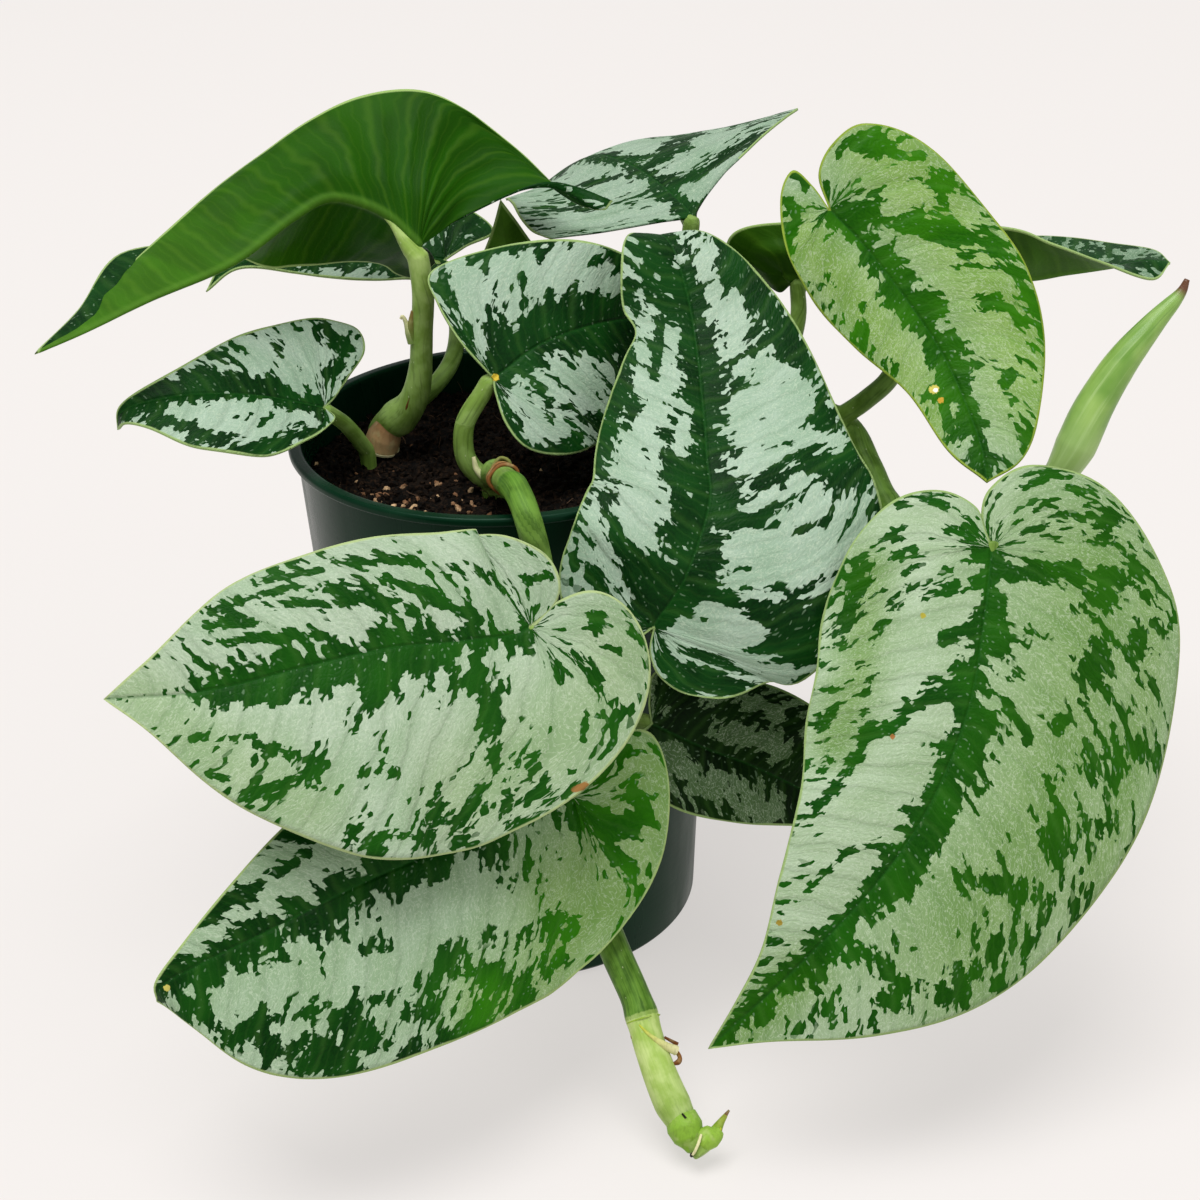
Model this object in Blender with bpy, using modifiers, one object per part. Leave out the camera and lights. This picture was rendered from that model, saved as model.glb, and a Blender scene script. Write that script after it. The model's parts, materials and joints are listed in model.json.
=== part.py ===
"""Satin pothos in a nursery pot: heart-shaped leaves, a rolled new leaf, the stems under them, soil and pot.

Lengths below are in millimetres and become metres as each mesh is made. The origin is the middle of the pot's
foot, on the surface it stands on. +Z is up, and the plant's front faces -Y.
"""

import math

import bmesh
import bpy
import numpy as np
from mathutils import Vector, noise

MM = 0.001

POT_HEIGHT = 140.0
RIM_RADIUS = 55.0
RIM_BAND = 2.2
WALL_TOP_RADIUS = 52.9
FOOT_RADIUS = 45.5
WALL = 1.4
POT_FLOOR = 2.2
DRAIN_HOLES = 8
DRAIN_RADIUS = 4.0
DRAIN_CIRCLE = 36.0
DRAIN_CUTTER = 10.0

SOIL_TOP = 128.5
SOIL_LUMP = 1.6
SOIL_RINGS = 7
SOIL_STEPS = 32
FIT_GAP = 0.3
HOLE_SLACK = 0.4
HOLE_REACH = 6.0

BLADE_THICKNESS = 0.7
HEEL_LENGTH = 30.0
RIB_SOFTNESS = 6.0
VEIN_LEAN = 0.6
NOTCH_ROWS = 4
RIB_ROWS = 9
BLADE_COLUMNS = 4
SHEET_STEPS = 26

POT_STEPS = 48
TUBE_BEVEL_RESOLUTION = 2
SHEET_WELD = 0.08 * MM
TUBE_WELD = 0.01 * MM
TURN_WELD = 0.05 * MM

# Each blade is laid out flat beside its midrib and then bent onto it.
# midrib: from the leaf stalk to the tip. heel: where the line between the lobes ends, behind the stalk, if it
# doesn't run straight on. faces: the way the upper face looks, evenly spaced along the midrib.
# left, right: the margin from the notch, round the lobe, towards the tip, as (along, across) from the midrib.
# fold: how far each half, (left, right), rises from the midrib, in degrees, from lobe to tip.
# curl: how far each half turns on from midrib to margin, in degrees, from lobe to tip.
# wave: the height of the margin's wave, and the length of one wave.
LEAVES = {
    "leaf_small_left": {
        "midrib": [(-44, -12, 151), (-58, -20, 158), (-71, -25, 161), (-82, -28, 161), (-89, -29, 159),
                   (-91, -28, 154)],
        "faces": [(-0.1, -0.55, 0.83), (-0.2, -0.6, 0.8)],
        "left": [(-2, 3), (1, 7), (8, 13), (20, 19.5), (35, 17), (46, 8)],
        "right": [(-3, 3), (-8, 10), (-14, 19), (-13, 26), (-5, 27), (5, 24), (20, 17), (35, 8), (47, 3)],
        "fold": [(15, 12), (12, 10)],
        "curl": [(-10, -10), (-15, -15)],
        "wave": (0.6, 24),
    },
    "leaf_inner": {
        "midrib": [(-2, -14, 158), (9, -6, 163), (22, 4, 164), (35, 14, 162), (46, 22, 159)],
        "faces": [(-0.2, -0.93, 0.3), (-0.2, -0.9, 0.35)],
        "left": [(-1, 12), (1, 23), (5, 30), (18, 26), (36, 20), (50, 12)],
        "right": [(-2, 3), (-5, 11), (-4, 19), (3, 26), (12, 28), (28, 27), (48, 15)],
        "fold": [(8, 8), (8, 8)],
        "curl": [(-20, -20), (-20, -20)],
        "wave": (0.9, 26),
    },
    "leaf_tall_centre": {
        "midrib": [(34, -64, 115), (39, -62, 122), (43, -60, 129), (48, -50, 140), (48, -40, 147),
                   (48, -28, 153), (47, -5, 166.5), (44, 6, 179), (41, 13, 183), (39, 20, 180),
                   (37, 24, 171)],
        "heel": (29, -72, 101),
        "faces": [(0.1, -0.9, 0.4), (0.15, -0.75, 0.65), (0.1, -0.6, 0.8), (0, -0.3, 0.95),
                  (0.1, 0.5, 0.85)],
        "left": [(-4, 3), (-9, 9), (-4, 20), (8, 28), (32, 28), (55, 24.5), (74, 18.5), (84, 14.5),
                 (92, 16.5), (101, 15.5), (107, 13.5), (112, 9.5), (119, 3)],
        "right": [(-6, 1), (-11, 5), (-13, 13), (-9, 25), (9, 37), (26, 44), (40, 40), (60, 33),
                  (83, 25), (98, 17), (108, 11), (118, 5)],
        "fold": [(8, 8), (8, 8)],
        "curl": [(-22, -22), (-22, -22)],
        "wave": (1.0, 36),
    },
    "leaf_upper_right": {
        "midrib": [(81, 6, 191), (89, 2, 183), (99, -5, 171), (108, -14, 158), (114, -28, 144),
                   (115, -36, 136)],
        "faces": [(0, -0.88, 0.47), (0, -0.88, 0.47)],
        "left": [(-8, 4), (-11, 12), (-9, 21), (3, 28), (28, 30), (42, 28), (57, 21), (74, 10)],
        "right": [(-7, -1), (-13, 0), (-10, 7), (1, 15), (15, 18), (32, 17), (50, 12), (70, 8)],
        "fold": [(8, 8), (8, 8)],
        "curl": [(-25, -20), (-25, -20)],
        "wave": (1.0, 30),
    },
    "leaf_hanging_right": {
        "midrib": [(113, -56, 129), (110, -67, 116), (105, -80, 100), (95, -93, 83), (82, -103, 69),
                   (64, -111, 53), (43, -116, 34)],
        "faces": [(0.05, -0.9, 0.42), (0.05, -0.9, 0.42)],
        "left": [(-6, -3), (-14, -2), (-21, 7), (-19, 24), (-6, 39), (13, 47.5), (42, 49), (71, 43.5),
                 (90, 36), (108, 24), (125, 9)],
        "right": [(-4, 2), (-9, 5), (-11.5, 13), (-9, 22), (-2, 29), (9, 34.5), (28, 37), (57, 34),
                  (80, 26), (97, 18), (112, 9), (125, 4)],
        "fold": [(10, 8), (8, 8)],
        "curl": [(-30, -25), (-25, -20)],
        "wave": (1.2, 40),
    },
    "leaf_front_upper": {
        "midrib": [(6, -74, 122), (-8, -81, 123), (-25, -87, 125), (-42, -92, 124), (-64, -96, 121),
                   (-86, -98, 121)],
        "heel": (20, -70, 136),
        "faces": [(-0.05, -0.85, 0.5), (-0.15, -0.82, 0.53), (-0.25, -0.8, 0.55)],
        "left": [(-8, 0), (-16, 5), (-18, 14), (-13, 24), (0, 35.5), (10, 43), (22, 46.5), (42, 46),
                 (56, 40), (70, 28), (85, 10)],
        "right": [(-8, 0), (-13, 3), (-15, 10), (-11, 20), (-2, 25), (15, 25), (38, 25), (60, 23),
                  (75, 17), (88, 7)],
        "fold": [(8, 8), (8, 8)],
        "curl": [(-22, -22), (-22, -22)],
        "wave": (1.0, 34),
    },
    "leaf_front_lower": {
        "midrib": [(14, -74, 76), (-1, -85, 77), (-16, -95, 77), (-34, -105, 75), (-51, -112, 70),
                   (-69, -116, 63), (-78, -117, 58), (-80, -116, 53)],
        "heel": (36, -64, 90),
        "faces": [(-0.05, -0.9, 0.43), (-0.2, -0.88, 0.45)],
        "left": [(-9, -1), (-19, -4), (-24, 1), (-20, 11), (-10, 22), (1, 31), (9, 38), (18, 41.5),
                 (45, 41.5), (72, 38.5), (92, 29.5), (105, 15)],
        "right": [(-8, 3), (-13, 7), (-8, 15), (12, 23), (33, 25), (52, 23), (70, 18), (85, 12), (102, 4)],
        "fold": [(8, 8), (8, 8)],
        "curl": [(-22, -20), (-22, -20)],
        "wave": (1.2, 38),
    },
    "leaf_shaded": {
        "midrib": [(33, -60, 87), (46, -61, 80), (59, -60, 73), (77, -56, 59), (91, -50, 43)],
        "faces": [(0.1, -0.85, 0.5), (0.1, -0.85, 0.5)],
        "left": [(-3, 5), (-4, 12), (8, 17), (30, 20), (52, 15)],
        "right": [(-2, 5), (1, 11), (12, 16), (30, 14), (50, 7), (65, 2)],
        "fold": [(8, 8), (8, 8)],
        "curl": [(-20, -20), (-20, -20)],
        "wave": (0.7, 28),
    },
    "leaf_far_left": {
        "midrib": [(-16, 48, 167), (-28, 48, 169), (-42, 44, 169), (-56, 40, 171), (-69, 33, 173),
                   (-77, 30, 167)],
        "faces": [(0, -0.5, 0.86), (0, -0.5, 0.86)],
        "left": [(-5, 3), (-8, 8), (5, 9), (25, 7), (50, 3)],
        "right": [(-5, 5), (-12, 12), (0, 20), (25, 16), (50, 6)],
        "fold": [(10, 10), (10, 10)],
        "curl": [(-20, -20), (-20, -20)],
        "wave": (0.9, 24),
    },
    "leaf_behind": {
        "midrib": [(5, 34, 146), (3, 35, 160), (1, 36, 174), (0, 36, 187)],
        "faces": [(0.1, 0.95, -0.2), (0.1, 0.95, -0.1)],
        "left": [(-4, 4), (-4, 9), (6, 12), (18, 11), (32, 5)],
        "right": [(-4, 4), (-4, 9), (6, 13), (18, 12), (32, 4)],
        "fold": [(10, 10), (10, 10)],
        "curl": [(10, 10), (10, 10)],
        "wave": (0.5, 22),
    },
}
# Three blades are cupped and twisted too far to lie flat, so each half is a sheet through rows of points.
# Each row is a side vein from the midrib to the margin. The rows go from the lobe, round the stalk, to the tip.
SHEETS = {
    "leaf_arched_left": {
        "left": [
            [(-19.5, 6, 185), (-15, 9, 187), (-7, 15, 190.5), (12, 21, 196), (28.5, 17, 191.5)],
            [(-19.5, 6, 185), (-14.5, 10, 189.5), (-6, 19, 193.5), (12, 22, 195), (25.5, 15, 190)],
            [(-19.5, 6, 185), (-15, 11, 192), (-6.5, 23, 197.5), (5.5, 28, 199), (17, 22, 191.5)],
            [(-19.5, 6, 185), (-16, 12, 195), (-11, 25, 201.5), (-2.5, 32, 204), (6.5, 31, 200)],
            [(-19.5, 6, 186), (-18, 13, 197.5), (-16, 26, 206), (-12, 34, 212), (-6.5, 35, 210)],
            [(-21.5, 7, 188), (-22.5, 14, 198.5), (-22, 26, 207.5), (-20.5, 34, 213.5), (-19, 37, 215.5)],
            [(-26, 9, 192), (-29, 15, 201), (-31, 25, 208), (-32.5, 32, 213), (-33.5, 35, 215)],
            [(-33, 10, 195.5), (-36.5, 13, 202.5), (-39.5, 20, 207), (-43.5, 26, 210.5), (-46, 29, 211)],
            [(-41, 8, 197.5), (-45, 9, 201.5), (-50, 14, 203.5), (-55, 19, 205.5), (-57.5, 22, 205)],
            [(-49.5, 1, 194.5), (-54, 2, 197), (-59.5, 7, 198.5), (-64.5, 11, 200.5), (-68, 14, 199.5)],
            [(-62.5, -10, 188), (-66, -8, 190), (-70.5, -4, 192), (-75, 0, 193.5), (-77.5, 3, 194)],
            [(-80, -25, 185), (-82, -23, 186), (-84, -20, 187.5), (-86.5, -16, 188), (-89, -13, 187)],
            [(-93.5, -35, 181.5), (-94.5, -34, 182), (-95.5, -32, 182), (-96.5, -31, 182),
             (-97.5, -30, 181.5)],
            [(-104.5, -40, 178.5)] * 5,
        ],
        "right": [
            [(-19.5, 6, 185), (-17.5, 12, 182), (-17, 19, 178), (-17, 25, 174.5)],
            [(-19.5, 6, 185), (-19, 13, 180), (-19.5, 22, 175), (-20.5, 28, 171)],
            [(-19.5, 6, 185), (-20.5, 14, 178.5), (-22, 23, 173.5), (-24, 29, 169.5)],
            [(-19.5, 6, 185), (-22, 14, 179), (-24.5, 23, 174), (-27.5, 28, 171)],
            [(-19.5, 6, 186), (-23.5, 14, 181), (-26.5, 22, 176), (-30, 27, 173.5)],
            [(-21.5, 7, 188), (-25, 14, 182.5), (-29.5, 21, 178), (-33.5, 26, 175)],
            [(-26, 9, 192), (-30.5, 14, 185.5), (-35, 20, 180), (-39.5, 24, 176)],
            [(-33, 10, 195.5), (-37.5, 14, 189), (-41.5, 18, 182), (-46, 21, 176.5)],
            [(-41, 8, 197.5), (-44.5, 11, 191), (-48.5, 14, 184.5), (-52, 16, 178)],
            [(-49.5, 1, 194.5), (-52.5, 6, 188.5), (-55.5, 10, 183.5), (-58.5, 12, 179.5)],
            [(-62.5, -10, 188), (-64, -3, 186), (-66.5, 3, 185), (-70.5, 8, 186.5)],
            [(-80, -25, 185), (-81, -16, 184.5), (-85, -10, 188), (-89.5, -6, 190)],
            [(-93.5, -35, 181.5), (-93.5, -31, 182.5), (-95, -28, 183.5), (-96.5, -26, 183.5)],
            [(-104.5, -40, 178.5)] * 4,
        ],
    },
    "leaf_back_centre": {
        "left": [
            [(49, 28, 183), (38, 25, 182.5), (25, 24, 181), (12.5, 24, 180)],
            [(45, 36, 185.5), (35.5, 31, 184), (22.5, 27, 182.5), (8, 26, 181.5)],
            [(40, 47, 187), (32, 38, 186), (19, 33, 183.5), (5, 31, 183.5)],
            [(34, 58, 188), (27, 48, 186.5), (15, 42, 184), (3, 38, 185)],
            [(26, 68, 188), (21, 58, 185.5), (12, 52, 183.5), (1.5, 47, 183.5)],
            [(18, 75, 183.5), (14, 68, 181.5), (7.5, 63, 180.5), (1, 58, 180)],
            [(6.5, 78, 174.5)] * 4,
        ],
        "right": [
            [(49, 28, 183), (52.5, 34, 186), (57.5, 40, 190), (62, 45, 193)],
            [(45, 36, 185.5), (52, 43, 188.5), (60.5, 51, 192), (69.5, 57, 195.5)],
            [(40, 47, 187), (50.5, 54, 190), (64, 64, 194), (76.5, 71, 196)],
            [(34, 58, 188), (48, 67, 190.5), (65, 77, 192), (80.5, 82, 195)],
            [(26, 68, 188), (42.5, 78, 188.5), (58.5, 88, 188), (72.5, 92, 188)],
            [(18, 75, 183.5), (32, 86, 185), (44.5, 94, 182.5), (54.5, 98, 180.5)],
            [(6.5, 78, 174.5)] * 4,
        ],
    },
    "leaf_far_right": {
        "left": [
            [(74, 22, 168), (69, 28, 169.5), (64.5, 36, 169), (61.5, 42, 169)],
            [(74, 22, 168), (72, 30, 169.5), (70, 40, 169.5), (69, 47, 169.5)],
            [(74, 22, 168), (78, 32, 169.5), (80, 42, 169), (81, 50, 169)],
            [(94.5, 27, 164), (96, 36, 166), (97.5, 46, 166.5), (99.5, 54, 166.5)],
            [(131.5, 26, 164), (133, 35, 165.5), (134.5, 43, 166.5), (136, 50, 167.5)],
            [(144, 24, 166), (145, 31, 167.5), (147, 39, 167.5), (149, 46, 168)],
            [(155, 22, 168), (156.5, 28, 168), (158, 34, 168), (159.5, 40, 168)],
            [(162.5, 20, 170), (164, 24, 169.5), (166, 28, 169), (168, 31, 169)],
            [(169, 18, 170)] * 4,
        ],
        "right": [
            [(74, 22, 168), (71, 23, 164), (67, 26, 165.5), (62, 28, 169)],
            [(74, 22, 168), (68, 22, 171), (62.5, 25, 173.5), (57.5, 27, 176.5)],
            [(74, 22, 168), (71, 19, 175.5), (68, 22, 179), (65.5, 24, 182)],
            [(94.5, 27, 164), (93.5, 20, 172.5), (94, 18, 179), (94, 18, 183.5)],
            [(131.5, 26, 164), (129.5, 20, 171), (127.5, 17, 177), (125.5, 15, 182)],
            [(144, 24, 166), (142, 20, 170.5), (139.5, 17, 174.5), (137.5, 15, 177.5)],
            [(155, 22, 168), (153.5, 19, 169.5), (151.5, 16, 171.5), (150, 14, 172.5)],
            [(162.5, 20, 170), (162.5, 17, 169.5), (162.5, 14, 169), (163, 12, 168)],
            [(169, 18, 170)] * 4,
        ],
    },
}


def smooth_path(points, steps):
    """Evenly spaced points on a smooth curve through the given ones."""
    knots = np.array(points, float)
    knots = np.vstack([2 * knots[0] - knots[1], knots, 2 * knots[-1] - knots[-2]])
    u = np.linspace(0, 1, 24, endpoint=False)[:, None]
    pieces = [
        b + 0.5 * ((c - a) * u + (2 * a - 5 * b + 4 * c - d) * u**2 + (3 * b - 3 * c + d - a) * u**3)
        for a, b, c, d in zip(knots, knots[1:], knots[2:], knots[3:])
    ]
    dense = np.vstack([*pieces, knots[-2][None]])
    return resample(dense, steps)


def resample(line, steps):
    """The line again, as evenly spaced points."""
    run = np.concatenate([[0], np.cumsum(np.linalg.norm(np.diff(line, axis=0), axis=1))])
    wanted = np.linspace(0, run[-1], steps + 1)
    return np.stack([np.interp(wanted, run, line[:, k]) for k in range(line.shape[1])], 1)


def unit(vectors):
    return vectors / np.linalg.norm(vectors, axis=-1, keepdims=True)


def at_stations(where, start, end, values):
    """Values given at even stations from start to end, read at other places."""
    stations = np.linspace(start, end, len(values))
    values = np.array(values, float)
    return np.stack([np.interp(where, stations, values[:, k]) for k in range(values.shape[1])], -1)


def rib_of(leaf):
    """The line from the lobes' heel over the stalk to the tip, and how far along it each point is."""
    stalk, after = np.array(leaf["midrib"][:2], float)
    heel = leaf.get("heel", stalk + HEEL_LENGTH * unit(stalk - after))
    line = smooth_path([heel, *leaf["midrib"]], 300)
    run = np.concatenate([[0], np.cumsum(np.linalg.norm(np.diff(line, axis=0), axis=1))])
    return line, run - run[np.argmin(np.linalg.norm(line - stalk, axis=1))]


def bend_onto_rib(leaf, side, plan):
    """Places of the flat points (along, across) on the bent half: side is 0 for left and 1 for right."""
    rib, run = rib_of(leaf)
    length = run[-1]
    along, across = plan[..., 0], plan[..., 1]
    nearby = np.exp(-(((run[:, None] - run[None, :]) / RIB_SOFTNESS) ** 2))
    tangents = unit(nearby @ np.gradient(rib, axis=0))
    spot = np.stack([np.interp(along, run, rib[:, k]) for k in range(3)], -1)
    tangent = unit(np.stack([np.interp(along, run, tangents[:, k]) for k in range(3)], -1))
    spot = spot + tangents[0] * np.minimum(along - run[0], 0)[..., None]
    face = at_stations(along, 0, length, leaf["faces"])
    face = unit(face - tangent * (face * tangent).sum(-1, keepdims=True))
    sideways = np.cross(tangent, face) * (1 if side else -1)
    outline = np.array(leaf["right" if side else "left"], float)
    rear, widest = outline[:, 0].min(), outline[:, 1].max()
    fold = np.radians(at_stations(along, rear, length, leaf["fold"])[..., side])
    curl = np.radians(at_stations(along, rear, length, leaf["curl"])[..., side])
    reach = across / widest
    out, rise = 0.0, 0.0
    samples = (np.arange(10) + 0.5) / 10
    for k in samples:
        angle = fold + curl * reach * k
        out = out + np.cos(angle) / len(samples)
        rise = rise + np.sin(angle) / len(samples)
    height, wavelength = leaf["wave"]
    ripple = height * reach**3 * np.sin(2 * math.pi * along / wavelength + side)
    return spot + sideways * (out * across)[..., None] + face * (rise * across + ripple)[..., None]


def half_plan(outline, length, fans, ribs, columns):
    """Rows of flat points over one half, each row a vein from the midrib to the margin."""
    edge = smooth_path([(0, 0), *outline, (length, 0)], 600)
    rear = int(np.argmin(edge[:, 0]))
    notch = resample(edge[: rear + 1], columns)
    margin = edge[rear:]
    origin = np.maximum.accumulate(margin[:, 0] - VEIN_LEAN * margin[:, 1])
    order = np.arange(len(margin))
    fan_end = np.interp(0, origin, order)
    starts = np.concatenate([np.zeros(fans), np.linspace(0, length, ribs + 1)])
    places = np.concatenate([
        np.linspace(0, fan_end, fans, endpoint=False),
        np.interp(np.linspace(0, length, ribs + 1), origin, order),
    ])
    share = np.linspace(0, 1, columns + 1)
    notch_turns = (notch[:, 0] + 1j * notch[:, 1]) / (notch[-1, 0] + 1j * notch[-1, 1])
    rows = []
    for k, (start, place) in enumerate(zip(starts, places)):
        end = np.array([np.interp(place, order, margin[:, 0]), np.interp(place, order, margin[:, 1])])
        pull = np.array([start + 0.2 * (end[0] - start), 0.55 * end[1]])
        root = np.array([start, 0.0])
        vein = (
            np.outer((1 - share) ** 2, root)
            + np.outer(2 * share * (1 - share), pull)
            + np.outer(share**2, end)
        )
        turned = notch_turns * (end[0] + 1j * end[1])
        like_notch = np.stack([turned.real, turned.imag], 1)
        blend = max(0.0, 1 - k / fans)
        rows.append(blend * like_notch + (1 - blend) * vein)
    return np.array(rows)


def through(points, shares):
    """Places at shares of the way along a smooth line through the points, which count as evenly spaced."""
    knots = np.array(points, float)
    knots = np.concatenate([2 * knots[:1] - knots[1:2], knots, 2 * knots[-1:] - knots[-2:-1]])
    spans = len(knots) - 3
    place = np.minimum(shares * spans, spans - 1e-9)
    k = place.astype(int)
    u = (place - k).reshape(-1, *[1] * (knots.ndim - 1))
    a, b, c, d = knots[k], knots[k + 1], knots[k + 2], knots[k + 3]
    return b + 0.5 * ((c - a) * u + (2 * a - 5 * b + 4 * c - d) * u**2 + (3 * b - 3 * c + d - a) * u**3)


def sheet_through(rows, steps, columns):
    """A grid of places on the smooth sheet through rows of points."""
    along = through(rows, np.linspace(0, 1, steps + 1))
    across = through(along.swapaxes(0, 1), np.linspace(0, 1, columns + 1))
    return across.swapaxes(0, 1)


def flat_halves(leaf):
    """Both halves of a blade that is bent from its flat plan."""
    length = rib_of(leaf)[1][-1]
    halves = []
    for side, key in enumerate(("left", "right")):
        plan = half_plan(leaf[key], length, NOTCH_ROWS, RIB_ROWS, BLADE_COLUMNS)
        halves.append(bend_onto_rib(leaf, side, plan))
    return halves


def collection_named(name):
    found = bpy.data.collections.get(name)
    if found is None:
        found = bpy.data.collections.new(name)
        bpy.context.scene.collection.children.link(found)
    return found


def paint(name, colour, roughness, metallic=0.0):
    """The named plain material, made the first time it is asked for."""
    material = bpy.data.materials.get(name)
    if material is None:
        material = bpy.data.materials.new(name)
        material.use_nodes = True
        shader = material.node_tree.nodes["Principled BSDF"]
        shader.inputs["Base Color"].default_value = (*colour, 1)
        shader.inputs["Roughness"].default_value = roughness
        shader.inputs["Metallic"].default_value = metallic
    return material


def new_object(name, mesh, collection="satin_pothos", material=None):
    thing = bpy.data.objects.new(name, mesh)
    collection_named(collection).objects.link(thing)
    if material is not None:
        mesh.materials.clear()
        mesh.materials.append(material)
    return thing


def shade(mesh, angle=40):
    mesh.shade_smooth()
    mesh.set_sharp_from_angle(angle=math.radians(angle))


def make_blade(name, halves):
    """One blade: an open sheet of both halves along the midrib, given its thickness by Solidify."""
    points, faces = [], []
    for side, grid in enumerate(halves):
        first = len(points)
        points.extend(grid.reshape(-1, 3) * MM)
        rows, wide = grid.shape[:2]
        for row in range(rows - 1):
            for column in range(wide - 1):
                a = first + row * wide + column
                b, c, d = a + 1, a + wide + 1, a + wide
                faces.extend([(a, b, c), (a, c, d)] if side else [(a, c, b), (a, d, c)])
    mesh = bpy.data.meshes.new(name)
    mesh.from_pydata([tuple(p) for p in points], [], faces)
    sheet = bmesh.new()
    sheet.from_mesh(mesh)
    bmesh.ops.remove_doubles(sheet, verts=sheet.verts, dist=SHEET_WELD)
    bmesh.ops.dissolve_degenerate(sheet, edges=sheet.edges, dist=SHEET_WELD)
    sheet.to_mesh(mesh)
    sheet.free()
    shade(mesh, 60)
    blade = new_object(name, mesh, material=paint("blade_green", (0.16, 0.27, 0.13), 0.5))
    solid = blade.modifiers.new("thickness", "SOLIDIFY")
    solid.thickness = BLADE_THICKNESS * MM
    solid.offset = 0
    return blade


def tube_mesh(name, path, radii, steps):
    """A round stem along a smooth path, closed at both ends; radii are evenly spaced along it."""
    line = smooth_path(path, steps)
    thick = np.interp(np.linspace(0, 1, steps + 1), np.linspace(0, 1, len(radii)), radii)
    curve = bpy.data.curves.new(name, "CURVE")
    curve.dimensions = "3D"
    curve.bevel_depth = MM
    curve.bevel_resolution = TUBE_BEVEL_RESOLUTION
    curve.use_fill_caps = True
    spline = curve.splines.new("POLY")
    spline.points.add(steps)
    for point, spot, radius in zip(spline.points, line, thick):
        point.co = (*(spot * MM), 1)
        point.radius = radius
    guide = bpy.data.objects.new(name, curve)
    bpy.context.scene.collection.objects.link(guide)
    graph = bpy.context.evaluated_depsgraph_get()
    mesh = bpy.data.meshes.new_from_object(guide.evaluated_get(graph))
    bpy.data.objects.remove(guide)
    bpy.data.curves.remove(curve)
    welded = bmesh.new()
    welded.from_mesh(mesh)
    bmesh.ops.remove_doubles(welded, verts=welded.verts, dist=TUBE_WELD)
    bmesh.ops.recalc_face_normals(welded, faces=welded.faces)
    welded.to_mesh(mesh)
    welded.free()
    return mesh


def apply_boolean(thing, operation, cutters):
    """The object with the collection's objects joined to it or cut from it, which are then removed."""
    cut = thing.modifiers.new(operation.lower(), "BOOLEAN")
    cut.operation = operation
    cut.operand_type = "COLLECTION"
    cut.collection = cutters
    cut.solver = "EXACT"
    graph = bpy.context.evaluated_depsgraph_get()
    mesh = bpy.data.meshes.new_from_object(thing.evaluated_get(graph))
    thing.modifiers.remove(cut)
    old = thing.data
    thing.data = mesh
    mesh.name = thing.name
    bpy.data.meshes.remove(old)
    for helper in list(cutters.objects):
        bpy.data.objects.remove(helper)
    return thing


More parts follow.
